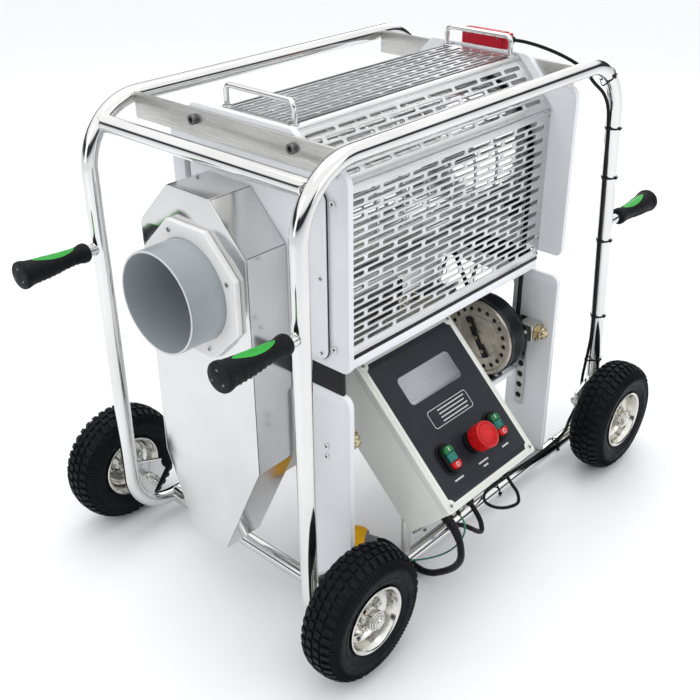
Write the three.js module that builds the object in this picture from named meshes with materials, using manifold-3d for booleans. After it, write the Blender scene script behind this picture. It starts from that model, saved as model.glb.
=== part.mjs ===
// Wheeled tumble trimmer: a slotted drum turns above a bladed reel between two end plates, on a
// stainless tube frame with four pneumatic wheels. Millimetres, +Z up, +X along the drum axis,
// -Y towards the control box. The origin is on the ground, at the centre of the bounding box.
import * as THREE from 'three';
import { mergeVertices } from 'three/addons/utils/BufferGeometryUtils.js';
import Module from 'manifold-3d';

const wasm = await Module();
wasm.setup();

const GAP = 0.3; // clearance between pieces that touch

// ---- driving dimensions --------------------------------------------------------------------
const FRAME = {
  near: -487, farTop: 434, farLow: 509, halfWidth: 264, top: 944, bottom: 48.5, tube: 16,
  topBend: 120, bottomBend: 100, seam: -302,
};
const WHEEL = { radius: 130, width: 86, axleZ: 130, nearX: -446, farX: 433, y: 353, bore: 10.3, hub: 38 };
const GRIP = { tip: 661, root: 518, nearZ: 678, farZ: 577, stub: 11 };
const PLATE = {
  near: -380, far: 280, thick: 12, front: -268, rear: 160, bottom: 558, shoulder: 917, top: 962,
};
const CROSS_BAR = { low: 905, high: 953, thick: 6 };
const POST = { width: 110, top: 511, nearBar: 18, farBar: 80 };
const DRUM = { y: -30, z: 760, radius: 140, ring: 150, wall: 4 };
const REEL = { y: -30, z: 578, radius: 38, shaft: 9, blades: 5 };
const ROLLER = { radius: 20, shaft: 8, angle: 50 };
const GUARD = { front: -212, rear: 148, low: 545, high: 866, sheet: 2.5, lip: 12 };
const LID = { frontEdge: -128, rearEdge: 45, height: 957, low: 868, sheet: 3 };
const HANDLE = { wire: 5, crown: 994, bend: 12 };
const HANDLES = [{ x: -347, front: -122, rear: 40 }, { x: 263, front: -118, rear: 40 }];
const DUCT = {
  front: -480, half: 136, top: 850, shoulder: 767, crown: 55, wall: 3,
  pipeZ: 676, pipe: 93, pipeWall: 4, pipeEnd: -565,
};
const DUCT_FOOT = { low: 110, front: -25, rear: 70, frontTaper: 345, rearTaper: 280 };
const FLANGE = { apothem: 118, thick: 12 };
const NEAR_COVER = { front: -225, rear: 95, low: 574, high: 880, corner: 20, thick: 8 };
const SHELF = { near: 181, front: -183, rear: 110, low: 246, high: 258 };
const TRAY = {
  far: 180, mouth: 480, mouthFront: -80, mouthRear: 110, floor: 180, floorFront: 0, floorRear: 60, sheet: 3,
};
const BED_KNIFE = { front: -84, rear: -70, low: 566, high: 606 };
const MOTOR = { y: -134, z: 356, radius: 93, near: 184, far: 238 };
const REEL_MOTOR = { y: 38, z: 340, radius: 70, near: 190, far: 275 };
const DRUM_PULLEY = 45;
const REEL_PULLEY = 28;
const MOTOR_PULLEY = 45;
const BELT = { thick: 4, drumX: 263, reelX: 299, width: 12 };
const BOX = {
  x: -109, y: -280.5, z: 372.5, tilt: 44.47, halfWidth: 142, halfLength: 166, depth: 130, lid: 18, wall: 4,
};
const STRUT = { y: -267, thick: 5, width: 25, top: 202.5 };
const SWITCH = { x: 75, y: -79, press: 3 };
const INTERLOCK = { front: -96, rear: 16, height: 31, depth: 24 };
const SUPPORT = { front: -240, rear: -203, nearLow: 385, nearHigh: 425, farLow: 360, farHigh: 398 };
const CORD = { power: 7, cable: 5, earth: 1.8, interlock: 3.5 };

// ---- small geometry tools ------------------------------------------------------------------
const group = new THREE.Group();
const V = (x, y, z) => new THREE.Vector3(x, y, z);

// The merged-vertex solid of a closed three.js geometry.
function solid(geometry) {
  const bare = geometry.index ? geometry.toNonIndexed() : geometry.clone();
  bare.deleteAttribute('normal');
  bare.deleteAttribute('uv');
  const merged = mergeVertices(bare, 1e-4);
  return new wasm.Manifold(new wasm.Mesh({
    numProp: 3,
    vertProperties: new Float32Array(merged.attributes.position.array),
    triVerts: new Uint32Array(merged.index.array),
  }));
}

function geometryOf(manifold) {
  const mesh = manifold.getMesh();
  const geometry = new THREE.BufferGeometry();
  geometry.setAttribute('position', new THREE.BufferAttribute(mesh.vertProperties, 3));
  geometry.setIndex(new THREE.BufferAttribute(mesh.triVerts, 1));
  return geometry;
}

function cut(base, ...tools) {
  return geometryOf(tools.reduce((left, tool) => left.subtract(solid(tool)), solid(base)));
}

function join(first, ...others) {
  return geometryOf(others.reduce((all, one) => all.add(solid(one)), solid(first)));
}

// A box between two corners.
function block(x0, x1, y0, y1, z0, z1) {
  const geometry = new THREE.BoxGeometry(x1 - x0, y1 - y0, z1 - z0);
  return geometry.translate((x0 + x1) / 2, (y0 + y1) / 2, (z0 + z1) / 2);
}

// A closed outline of [a, b, corner radius] points, with each given radius rounded in short steps.
function outline(points, steps = 3) {
  const rounded = [];
  points.forEach(([a, b, radius = 0], i) => {
    const corner = new THREE.Vector2(a, b);
    if (!radius) {
      rounded.push(corner);
      return;
    }
    const before = points[(i + points.length - 1) % points.length];
    const after = points[(i + 1) % points.length];
    const toBefore = new THREE.Vector2(before[0], before[1]).sub(corner).normalize();
    const toAfter = new THREE.Vector2(after[0], after[1]).sub(corner).normalize();
    const half = Math.acos(THREE.MathUtils.clamp(toBefore.dot(toAfter), -1, 1)) / 2;
    const centre = corner.clone().add(toBefore.clone().add(toAfter).setLength(radius / Math.sin(half)));
    const reach = radius / Math.tan(half);
    const first = corner.clone().addScaledVector(toBefore, reach).sub(centre);
    const last = corner.clone().addScaledVector(toAfter, reach).sub(centre);
    const start = Math.atan2(first.y, first.x);
    let turn = Math.atan2(last.y, last.x) - start;
    if (turn > Math.PI) turn -= 2 * Math.PI;
    if (turn < -Math.PI) turn += 2 * Math.PI;
    for (let k = 0; k <= steps; k += 1) {
      const angle = start + (turn * k) / steps;
      const spoke = new THREE.Vector2(Math.cos(angle), Math.sin(angle)).multiplyScalar(radius);
      rounded.push(centre.clone().add(spoke));
    }
  });
  return new THREE.Shape(rounded);
}

function disc(a, b, radius, sides = 24) {
  const points = [];
  for (let k = 0; k < sides; k += 1) {
    const angle = (2 * Math.PI * k) / sides;
    points.push(new THREE.Vector2(a + radius * Math.cos(angle), b + radius * Math.sin(angle)));
  }
  return new THREE.Shape(points);
}

const AXES = {
  x: new THREE.Matrix4().makeBasis(V(0, 1, 0), V(0, 0, 1), V(1, 0, 0)),
  y: new THREE.Matrix4().makeBasis(V(0, 0, 1), V(1, 0, 0), V(0, 1, 0)),
  z: new THREE.Matrix4(),
};

// A flat shape pushed along an axis from one coordinate to another. The shape's two coordinates
// are (y, z) for axis x, (z, x) for axis y and (x, y) for axis z.
function slab(shape, axis, from, to) {
  const geometry = new THREE.ExtrudeGeometry(shape, { depth: to - from, bevelEnabled: false });
  return geometry.translate(0, 0, from).applyMatrix4(AXES[axis]);
}

const rodX = (y, z, radius, x0, x1, sides = 16) => slab(disc(y, z, radius, sides), 'x', x0, x1);
const rodY = (x, z, radius, y0, y1, sides = 16) => slab(disc(z, x, radius, sides), 'y', y0, y1);
const rodZ = (x, y, radius, z0, z1, sides = 16) => slab(disc(x, y, radius, sides), 'z', z0, z1);

// A body of revolution from a closed (radius, along) profile, turned to lie along x or y.
function turned(profile, axis, sides) {
  const points = profile.map(([radius, along]) => new THREE.Vector2(radius, along));
  const geometry = new THREE.LatheGeometry(points, sides);
  return axis === 'x' ? geometry.rotateZ(-Math.PI / 2) : geometry;
}

// A route through fixed points, which a section follows with one step per point.
class Route extends THREE.Curve {
  constructor(points) {
    super();
    this.points = points;
  }

  getPoint(t) {
    const last = this.points.length - 1;
    const i = Math.min(Math.floor(t * last + 1e-9), last - 1);
    return this.points[i].clone().lerp(this.points[i + 1], t * last - i);
  }

  getPointAt(u) {
    return this.getPoint(u);
  }

  getTangentAt(u) {
    const last = this.points.length - 1;
    const i = Math.round(u * last);
    const before = this.points[Math.max(i - 1, 0)];
    const here = this.points[i];
    const after = this.points[Math.min(i + 1, last)];
    const incoming = here.clone().sub(before).normalize();
    return incoming.add(after.clone().sub(here).normalize()).normalize();
  }
}

function tube(points, radius, sides = 12) {
  return new THREE.ExtrudeGeometry(disc(0, 0, radius, sides), {
    extrudePath: new Route(points),
    steps: points.length - 1,
    curveSegments: 1,
  });
}

// The points of an open path whose inner corners are rounded.
function bent(corners, radii, steps = 6) {
  const points = [corners[0]];
  for (let i = 1; i < corners.length - 1; i += 1) {
    const radius = Array.isArray(radii) ? radii[i - 1] : radii;
    const back = corners[i - 1].clone().sub(corners[i]).normalize();
    const on = corners[i + 1].clone().sub(corners[i]).normalize();
    const half = back.angleTo(on) / 2;
    const inwards = back.clone().add(on).normalize();
    const centre = corners[i].clone().addScaledVector(inwards, radius / Math.sin(half));
    const first = corners[i].clone().addScaledVector(back, radius / Math.tan(half)).sub(centre);
    const last = corners[i].clone().addScaledVector(on, radius / Math.tan(half)).sub(centre);
    const sweep = first.angleTo(last);
    for (let k = 0; k <= steps; k += 1) {
      const a = Math.sin(sweep * (1 - k / steps)) / Math.sin(sweep);
      const b = Math.sin((sweep * k) / steps) / Math.sin(sweep);
      points.push(centre.clone().addScaledVector(first, a).addScaledVector(last, b));
    }
  }
  points.push(corners[corners.length - 1]);
  return points;
}

// A smooth cord route through hand-chosen points.
function smooth(points, steps) {
  return new THREE.CatmullRomCurve3(points, false, 'centripetal').getSpacedPoints(steps);
}

// Materials: [colour, roughness, metalness].
const LOOK = {
  stainless: [0xd8d8d6, 0.18, 1],
  brushed: [0xc4c4c2, 0.38, 1],
  zinc: [0xcfcabd, 0.3, 1],
  white: [0xe6e8ea, 0.45, 0],
  cream: [0xdcdccf, 0.4, 0],
  rubber: [0x1c1d1f, 0.75, 0],
  belt: [0x161616, 0.8, 0],
  pipe: [0x8b9396, 0.4, 0],
  red: [0xc81e1e, 0.3, 0],
  green: [0x1f7a3c, 0.35, 0],
  yellow: [0xf0ab00, 0.4, 0],
  motor: [0x1b1c20, 0.4, 0.3],
  steel: [0x9a9a9a, 0.35, 1],
};

function add(name, geometry, look, parent = group) {
  const [color, roughness, metalness] = LOOK[look];
  const material = new THREE.MeshStandardMaterial({ color, roughness, metalness });
  const mesh = new THREE.Mesh(geometry, material);
  mesh.name = name;
  parent.add(mesh);
  return mesh;
}

// ---- tube frame ----------------------------------------------------------------------------
// The far legs lean in towards their tops; this is where their centre line is at a height.
const farLegX = (z) => (
  FRAME.farLow + ((FRAME.farTop - FRAME.farLow) * (z - FRAME.bottom)) / (FRAME.top - FRAME.bottom)
);
const FAR_LEAN = Math.atan2(FRAME.farLow - FRAME.farTop, FRAME.top - FRAME.bottom);
const FAR_BEND_REACH = FRAME.bottomBend / Math.tan((Math.PI / 2 - FAR_LEAN) / 2);

// The tab that fills the inside of a bottom bend, with its axle bolt, spacer and nut.
function stubAxle(x, side) {
  const end = Math.sign(x);
  const bendX = end < 0 ? FRAME.near + FRAME.bottomBend : FRAME.farLow - FAR_BEND_REACH;
  const bendZ = FRAME.bottom + FRAME.bottomBend;
  const tab = [];
  for (const [radius, angles] of [[FRAME.bottomBend - 6, [160, 178, 196, 214, 232]], [24, [232, 196, 160]]]) {
    for (const degrees of angles) {
      const angle = THREE.MathUtils.degToRad(degrees);
      tab.push(new THREE.Vector2(bendZ + radius * Math.sin(angle), bendX - end * radius * Math.cos(angle)));
    }
  }
  const outwards = (radius, from, to, sides) => {
    const [y0, y1] = [side * from, side * to].sort((a, b) => a - b);
    return rodY(x, WHEEL.axleZ, radius, y0, y1, sides);
  };
  const hubInner = WHEEL.y - WHEEL.hub - GAP;
  const hubOuter = WHEEL.y + WHEEL.hub + GAP;
  return [
    slab(new THREE.Shape(tab), 'y', side * FRAME.halfWidth - 4, side * FRAME.halfWidth + 4),
    outwards(WHEEL.bore - GAP, FRAME.halfWidth - 12, hubOuter + 8, 12),
    outwards(14, FRAME.halfWidth + 2, hubInner, 12),
    outwards(15, hubOuter, hubOuter + 2, 6),
  ];
}

// A welded stub that carries a hand grip, from inside the leg tube to near the grip's tip.
function gripStub(end, y, z) {
  const leg = end < 0 ? FRAME.near : farLegX(z);
  const [x0, x1] = [leg, end * (GRIP.tip - 10)].sort((a, b) => a - b);
  return rodX(y, z, GRIP.stub, x0, x1, 12);
}

// Two flat bars that stand on the front bottom run and carry the control box.
function boxStruts() {
  const { y, thick, width, top } = STRUT;
  return [-225, -15].map((x) => block(x, x + width, y, y + thick, FRAME.bottom + 10, top));
}

// One bent tube with its butt seam on the bottom run, and what is welded to it.
function frameLoop(side) {
  const { near, farTop, farLow, top, bottom, topBend, bottomBend, seam } = FRAME;
  const y = side * FRAME.halfWidth;
  const path = [
    V(seam - GAP, y, bottom), V(near, y, bottom), V(near, y, top),
    V(farTop, y, top), V(farLow, y, bottom), V(seam, y, bottom),
  ];
  return join(
    tube(bent(path, [bottomBend, topBend, topBend, bottomBend]), FRAME.tube),
    gripStub(-1, y, GRIP.nearZ),
    gripStub(1, y, GRIP.farZ),
    ...stubAxle(WHEEL.nearX, side),
    ...stubAxle(WHEEL.farX, side),
    ...(side < 0 ? boxStruts() : []),
  );
}

const CROSS_END = FRAME.halfWidth - FRAME.tube - GAP;
const BEND_45 = FRAME.topBend * (1 - Math.SQRT1_2);
const NEAR_CROSS_X = PLATE.near - 2;
const FAR_CROSS_X = PLATE.far + PLATE.thick / 2;
const NEAR_BAR_X = PLATE.near - GAP - CROSS_BAR.thick;
const FAR_BAR_X = PLATE.far + PLATE.thick + GAP;

const crossTube = (x, z) => rodY(x, z, FRAME.tube, -CROSS_END, CROSS_END, 12);
const crossPlate = (x) => block(x, x + CROSS_BAR.thick, -CROSS_END, CROSS_END, CROSS_BAR.low, CROSS_BAR.high);

add('front_frame_loop', frameLoop(-1), 'stainless');
add('rear_frame_loop', frameLoop(1), 'stainless');
add('near_top_cross_tube', crossTube(FRAME.near + BEND_45, FRAME.top - BEND_45), 'stainless');
add('near_bottom_cross_tube', crossTube(NEAR_CROSS_X, FRAME.bottom), 'stainless');
add('far_bottom_cross_tube', crossTube(FAR_CROSS_X, FRAME.bottom), 'stainless');
add('near_cross_plate', crossPlate(NEAR_BAR_X), 'brushed');
add('far_cross_plate', crossPlate(FAR_BAR_X), 'brushed');

// ---- wheels ----------------------------------------------------------------------
const corners = [
  { name: 'near_front', x: WHEEL.nearX, side: -1 },
  { name: 'near_rear', x: WHEEL.nearX, side: 1 },
  { name: 'far_front', x: WHEEL.farX, side: -1 },
  { name: 'far_rear', x: WHEEL.farX, side: 1 },
];

// A hollow tyre, open towards the rim.
const TYRE_PROFILE = [
  [60, -26], [78, -40], [104, -43], [123, -33], [130, -14], [130, 14], [123, 33], [104, 43], [78, 40],
  [60, 26], [80, 32], [114, 30], [114, -30], [80, -32], [60, -26],
];

// A split rim: hub tube, disc, barrel and two bead flanges.
const RIM_PROFILE = [
  [WHEEL.bore, -WHEEL.hub], [20, -WHEEL.hub], [20, -4],
  [53, -4], [53, -29], [64, -35.5], [66, -33], [57, -27],
  [57, 27], [66, 33], [64, 35.5], [53, 29], [53, 4], [20, 4],
  [20, WHEEL.hub], [WHEEL.bore, WHEEL.hub], [WHEEL.bore, -WHEEL.hub],
];

for (const { name, x, side } of corners) {
  const tyre = add(`tyre_${name}`, turned(TYRE_PROFILE, 'y', 20), 'rubber');
  const rim = add(`rim_${name}`, turned(RIM_PROFILE, 'y', 16), 'zinc');
  for (const piece of [tyre, rim]) piece.position.set(x, side * WHEEL.y, WHEEL.axleZ);
}

// ---- hand grips ----------------------------------------------------------------------------
const GRIP_LENGTH = GRIP.tip - GRIP.root;

// Root at zero, tip at full length: a bored sleeve with a waist and a flared, closed end.
const GRIP_PROFILE = [
  [0, GRIP_LENGTH - 8], [GRIP.stub + GAP, GRIP_LENGTH - 8], [GRIP.stub + GAP, 0], [17, 0], [18, 12],
  [16, 30], [17, 62], [21, 100], [26, GRIP_LENGTH - 10], [24, GRIP_LENGTH - 2], [0, GRIP_LENGTH],
];

function grip(end, y, z) {
  const sleeve = turned(GRIP_PROFILE, 'x', 12);
  if (end < 0) sleeve.rotateZ(Math.PI);
  return sleeve.translate(end * GRIP.root, y, z);
}

for (const [endName, end, z] of [['near', -1, GRIP.nearZ], ['far', 1, GRIP.farZ]]) {
  for (const [sideName, side] of [['front', -1], ['rear', 1]]) {
    add(`grip_${endName}_${sideName}`, grip(end, side * FRAME.halfWidth, z), 'rubber');
  }
}

// ---- end plates and stands ------------------------------------------------------------------
function endPlateShape() {
  const { front, rear, bottom, shoulder, top } = PLATE;
  return outline([
    [front, bottom, 15], [rear, bottom, 15], [rear, shoulder, 20], [135, shoulder], [95, top],
    [-148, top], [-190, shoulder], [front, shoulder, 25],
  ]);
}

const ROLLER_REACH = DRUM.ring + ROLLER.radius + GAP;
const ROLLER_SWING = THREE.MathUtils.degToRad(ROLLER.angle);
const rollers = [-1, 1].map((side) => ({
  name: side < 0 ? 'front' : 'rear',
  y: DRUM.y + side * ROLLER_REACH * Math.sin(ROLLER_SWING),
  z: DRUM.z - ROLLER_REACH * Math.cos(ROLLER_SWING),
}));

// Every shaft that crosses an end plate turns in a clearance hole.
function endPlate(x) {
  const near = x === PLATE.near;
  const holes = [rodX(REEL.y, REEL.z, REEL.shaft + 1, x - 1, x + PLATE.thick + 1, 12)];
  for (const { y, z } of rollers) holes.push(rodX(y, z, ROLLER.shaft + 1, x - 1, x + PLATE.thick + 1, 12));
  if (near) holes.push(block(x - 1, x + PLATE.thick + 1, 112, 128, 815, 865));
  else holes.push(rodX(DRUM.y, DRUM.z, 105, x - 1, x + PLATE.thick + 1, 28));
  return cut(slab(endPlateShape(), 'x', x, x + PLATE.thick), ...holes);
}

// A stand: two posts on the bottom cross tube, and the bar across their heads that carries the
// end plate.
function stand(x) {
  const foot = FRAME.bottom + FRAME.tube + GAP;
  const { front, rear, bottom } = PLATE;
  const posts = outline([
    [front, foot], [front + POST.width, foot], [front + POST.width, 480], [rear - POST.width, 480],
    [rear - POST.width, foot], [rear, foot], [rear, POST.top, 20], [front, POST.top, 20],
  ]);
  const barFront = front + (x === PLATE.near ? POST.nearBar : POST.farBar);
  const bar = block(x + 2, x + PLATE.thick - 2, barFront, rear - 18, POST.top - 10, bottom - GAP);
  return join(slab(posts, 'x', x, x + PLATE.thick), bar);
}

add('near_end_plate', endPlate(PLATE.near), 'white');
add('far_end_plate', endPlate(PLATE.far), 'white');
add('near_stand', stand(PLATE.near), 'white');
add('far_stand', stand(PLATE.far), 'white');

// The support blocks on the front posts; the far one runs down as a drilled height strip.
const NEAR_INSIDE = PLATE.near + PLATE.thick + GAP;
const FAR_INSIDE = PLATE.far - GAP;

function farSupportBlock() {
  const strip = { x0: FAR_INSIDE - 3.7, y0: -206, y1: -185, low: 170, pitch: 28 };
  const middle = (strip.y0 + strip.y1) / 2;
  const holes = [];
  for (let k = 0; k < 5; k += 1) {
    holes.push(rodX(middle, strip.low + 22 + strip.pitch * k, 6, strip.x0 - 1, FAR_INSIDE + 1, 8));
  }
  const { front, rear, farLow, farHigh } = SUPPORT;
  const head = block(FAR_INSIDE - 40, FAR_INSIDE, front, rear, farLow, farHigh);
  return cut(join(head, block(strip.x0, FAR_INSIDE, strip.y0, strip.y1, strip.low, farHigh)), ...holes);
}

const nearSupport = block(
  NEAR_INSIDE, NEAR_INSIDE + 30, SUPPORT.front, SUPPORT.rear, SUPPORT.nearLow, SUPPORT.nearHigh,
);
add('near_support_block', nearSupport, 'zinc');
add('far_support_block', farSupportBlock(), 'zinc');

// ---- guards and lid ------------------------------------------------------------------------
const COVER_X0 = PLATE.near + PLATE.thick + GAP;
const COVER_X1 = PLATE.far - GAP;

// A channel-section guard panel whose lips point to the drum.
function guard(y, inwards) {
  const { low, high, sheet, lip } = GUARD;
  const u = (depth) => y + inwards * depth;
  const profile = [
    [u(0), low], [u(lip), low], [u(lip), low + sheet], [u(sheet), low + sheet], [u(sheet), high - sheet],
    [u(lip), high - sheet], [u(lip), high], [u(0), high],
  ];
  return slab(outline(profile), 'x', COVER_X0, COVER_X1);
}

// The lift-off lid: a flat top with a sloping facet on each side.
function lidSheet() {
  const { frontEdge, rearEdge, height, low, sheet } = LID;
  const front = GUARD.front - 2;
  const rear = GUARD.rear + 4;
  const profile = [
    [front, low], [front + sheet * 1.4, low], [frontEdge + sheet * 0.5, height - sheet],
    [rearEdge - sheet * 0.5, height - sheet], [rear - sheet * 1.4, low], [rear, low],
    [rearEdge, height], [frontEdge, height],
  ];
  return slab(outline(profile), 'x', COVER_X0 + 1.2, COVER_X1 - 1.2);
}

// A wire handle across the lid, with its feet let into the sheet.
function handle({ x, front, rear }) {
  const foot = LID.height - LID.sheet / 2;
  const path = [V(x, front, foot), V(x, front, HANDLE.crown), V(x, rear, HANDLE.crown), V(x, rear, foot)];
  return tube(bent(path, HANDLE.bend, 4), HANDLE.wire, 8);
}

add('front_guard', guard(GUARD.front, 1), 'brushed');
add('rear_guard', guard(GUARD.rear, -1), 'brushed');
add('lid', join(lidSheet(), ...HANDLES.map(handle)), 'brushed');

// ---- inner structure -----------------------------------------------------------------------
function leafTray() {
  const { far, mouth, mouthFront, mouthRear, floor, floorFront, floorRear, sheet } = TRAY;
  const profile = [
    [mouthFront, mouth], [floorFront, floor], [floorRear, floor],
    [mouthRear, mouth], [mouthRear - sheet - 1, mouth],
    [floorRear - sheet, floor + sheet], [floorFront + sheet, floor + sheet], [mouthFront + sheet + 1, mouth],
  ];
  return slab(outline(profile), 'x', NEAR_INSIDE, far);
}

// The shelf between the far posts carries both motors.
const shelf = block(SHELF.near, FAR_INSIDE, SHELF.front, SHELF.rear, SHELF.low, SHELF.high);
const bedKnife = block(COVER_X0, COVER_X1, BED_KNIFE.front, BED_KNIFE.rear, BED_KNIFE.low, BED_KNIFE.high);
add('motor_shelf', shelf, 'brushed');
add('bed_knife', bedKnife, 'steel');
add('leaf_tray', leafTray(), 'stainless');

// ---- drum, reel and rollers ----------------------------------------------------------------
// The drum tube with a running ring at each end; the far ring also carries the drive belt.
function drum() {
  const { radius, ring, wall, y, z } = DRUM;
  const inner = radius - wall;
  const profile = [
    [inner, -356], [ring, -356], [ring, -338], [radius, -338], [radius, 242], [ring, 242], [ring, 277],
    [inner, 277], [inner, -356],
  ];
  return turned(profile, 'x', 36).translate(0, y, z);
}

// Straight blades wound about the shaft by turning each section as the prism rises.
function reelBlades() {
  const length = 565;
  const turns = 0.75;
  const points = [];
  for (let k = 0; k < REEL.blades; k += 1) {
    const at = (2 * Math.PI * k) / REEL.blades;
    const edge = (radius, offset) => {
      points.push(new THREE.Vector2(radius * Math.cos(at + offset), radius * Math.sin(at + offset)));
    };
    edge(13, -0.5);
    edge(REEL.radius, -0.05);
    edge(REEL.radius, 0.05);
    edge(15, 0.3);
  }
  const section = new THREE.Shape(points);
  const geometry = new THREE.ExtrudeGeometry(section, { depth: length, steps: 12, bevelEnabled: false });
  const position = geometry.attributes.position;
  for (let i = 0; i < position.count; i += 1) {
    const angle = (2 * Math.PI * turns * position.getZ(i)) / length;
    const [x, y] = [position.getX(i), position.getY(i)];
    position.setXY(i, x * Math.cos(angle) - y * Math.sin(angle), x * Math.sin(angle) + y * Math.cos(angle));
  }
  return geometry.translate(0, 0, -330).applyMatrix4(AXES.x).translate(0, REEL.y, REEL.z);
}

function reel() {
  return join(
    reelBlades(),
    rodX(REEL.y, REEL.z, REEL.shaft, PLATE.near + 2, BELT.reelX + 15, 12),
    rodX(REEL.y, REEL.z, REEL_PULLEY, BELT.reelX - 1, BELT.reelX + BELT.width + 1, 20),
  );
}

function rollerShaft({ y, z }) {
  return join(
    rodX(y, z, ROLLER.shaft, PLATE.near + 3, PLATE.far + 9, 10),
    rodX(y, z, ROLLER.radius, -356, -338, 18),
    rodX(y, z, ROLLER.radius, 243, 260, 18),
  );
}

add('tumbler_drum', drum(), 'stainless');
add('cutting_reel', reel(), 'steel');
for (const roller of rollers) add(`roller_shaft_${roller.name}`, rollerShaft(roller), 'steel');

// ---- motors, pulleys and belts -------------------------------------------------------------
// Each motor is bored for its shaft and stands on a foot on the motor shelf.
function motor({ y, z, radius, near, far }) {
  const body = join(
    rodX(y, z, radius, near, far, 28),
    block(near + 8, far - 8, y - 45, y + 45, SHELF.high + GAP, z - radius * 0.5),
  );
  return cut(body, rodX(y, z, 10, near + 20, far + 1, 12));
}

function motorPulley({ y, z, near }, beltX, radius) {
  return join(
    rodX(y, z, 9, near + 22, beltX + BELT.width + 3, 12),
    rodX(y, z, radius, beltX - 1, beltX + BELT.width + 1, 24),
  );
}

// A belt round two pulleys: the outline of two arcs and their common tangents, less its inside.
function belt(a, b, x) {
  const wrap = (grow) => {
    const [ra, rb] = [a.radius + grow, b.radius + grow];
    const span = Math.hypot(b.y - a.y, b.z - a.z);
    const along = Math.atan2(b.z - a.z, b.y - a.y);
    const tilt = Math.acos((ra - rb) / span);
    const points = [];
    const arc = ({ y, z }, radius, from, to, steps) => {
      for (let k = 0; k <= steps; k += 1) {
        const angle = from + ((to - from) * k) / steps;
        points.push(new THREE.Vector2(y + radius * Math.cos(angle), z + radius * Math.sin(angle)));
      }
    };
    arc(a, ra, along + tilt, along + 2 * Math.PI - tilt, 22);
    arc(b, rb, along - tilt, along + tilt, 8);
    return points;
  };
  const shape = new THREE.Shape(wrap(1 + BELT.thick));
  shape.holes.push(new THREE.Path(wrap(1)));
  return slab(shape, 'x', x, x + BELT.width);
}

add('drum_motor', motor(MOTOR), 'motor');
add('reel_motor', motor(REEL_MOTOR), 'motor');
add('drum_pulley', motorPulley(MOTOR, BELT.drumX, DRUM_PULLEY), 'steel');
add('reel_motor_pulley', motorPulley(REEL_MOTOR, BELT.reelX, MOTOR_PULLEY), 'steel');

const drumPulley = { ...MOTOR, radius: DRUM_PULLEY };
const reelPulley = { ...REEL, radius: REEL_PULLEY };
add('drum_belt', belt({ ...DRUM, radius: DRUM.ring }, drumPulley, BELT.drumX), 'belt');
add('reel_belt', belt({ ...REEL_MOTOR, radius: MOTOR_PULLEY }, reelPulley, BELT.reelX), 'belt');

// ---- vacuum duct ---------------------------------------------------------------------------
function ductShape(inset) {
  const h = DUCT.half - inset;
  const top = DUCT.top - inset;
  const low = DUCT_FOOT.low + inset;
  const shoulder = DUCT.shoulder - inset * 0.4;
  const crown = DUCT.crown - inset * 0.4;
  return outline([
    [DUCT_FOOT.front + inset * 0.3, low], [DUCT_FOOT.rear - inset * 0.3, low], [h, DUCT_FOOT.rearTaper],
    [h, shoulder], [crown, top], [-crown, top], [-h, shoulder], [-h, DUCT_FOOT.frontTaper],
  ]);
}

function octagon(radius, z) {
  const corners8 = [];
  for (let k = 0; k < 8; k += 1) {
    const angle = (Math.PI / 4) * (k + 0.5);
    const reach = radius / Math.cos(Math.PI / 8);
    corners8.push(new THREE.Vector2(reach * Math.cos(angle), z + reach * Math.sin(angle)));
  }
  return new THREE.Shape(corners8);
}

const NEAR_COVER_X = PLATE.near - NEAR_COVER.thick - GAP;
const DUCT_REAR = NEAR_COVER_X - GAP;

// The box is folded sheet, open to the pipe in front and to the leaf tray behind.
function ductBox() {
  const outer = slab(ductShape(0), 'x', DUCT.front, DUCT_REAR);
  const inner = slab(ductShape(DUCT.wall), 'x', DUCT.front + DUCT.wall, DUCT_REAR - DUCT.wall);
  const pipeHole = rodX(0, DUCT.pipeZ, DUCT.pipe + GAP, DUCT.front - 1, DUCT.front + 10, 36);
  const trayHole = block(DUCT_REAR - 10, DUCT_REAR + 1, -30, 45, 190, 330);
  return cut(outer, inner, pipeHole, trayHole);
}

function ductFlange() {
  const x0 = DUCT.front - GAP - FLANGE.thick;
  const hole = rodX(0, DUCT.pipeZ, DUCT.pipe + GAP, x0 - 1, DUCT.front + 1, 36);
  return cut(slab(octagon(FLANGE.apothem, DUCT.pipeZ), 'x', x0, x0 + FLANGE.thick), hole);
}

function ductPipe() {
  const inner = DUCT.pipe - DUCT.pipeWall;
  const back = DUCT.front + DUCT.wall + 6;
  const profile = [
    [inner, DUCT.pipeEnd], [DUCT.pipe, DUCT.pipeEnd], [DUCT.pipe, back], [inner, back], [inner, DUCT.pipeEnd],
  ];
  return turned(profile, 'x', 36).translate(0, 0, DUCT.pipeZ);
}

function nearCover() {
  const { front, rear, low, high, corner, thick } = NEAR_COVER;
  const shape = outline([
    [front, low, corner], [rear, low, corner], [rear, high, corner], [front, high, corner],
  ]);
  return slab(shape, 'x', NEAR_COVER_X, NEAR_COVER_X + thick);
}

add('near_cover', nearCover(), 'white');
add('duct_box', ductBox(), 'stainless');
add('duct_flange', ductFlange(), 'white');
add('duct_pipe', ductPipe(), 'pipe');

// ---- control box ---------------------------------------------------------------------------
// A tilted frame: local x along the machine, local y up the slope, local z out of the lid.
const panel = new THREE.Group();
panel.position.set(BOX.x, BOX.y, BOX.z);
panel.rotation.x = THREE.MathUtils.degToRad(BOX.tilt);
group.add(panel);

// [x, z, radius] of each gland: mains, motors, interlock, earth.
const GLANDS = [[-112, -48, 11], [-30, -62, 9], [100, -70, 8], [-88, -40, 4]];
const GLAND_LENGTH = 16;

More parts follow.
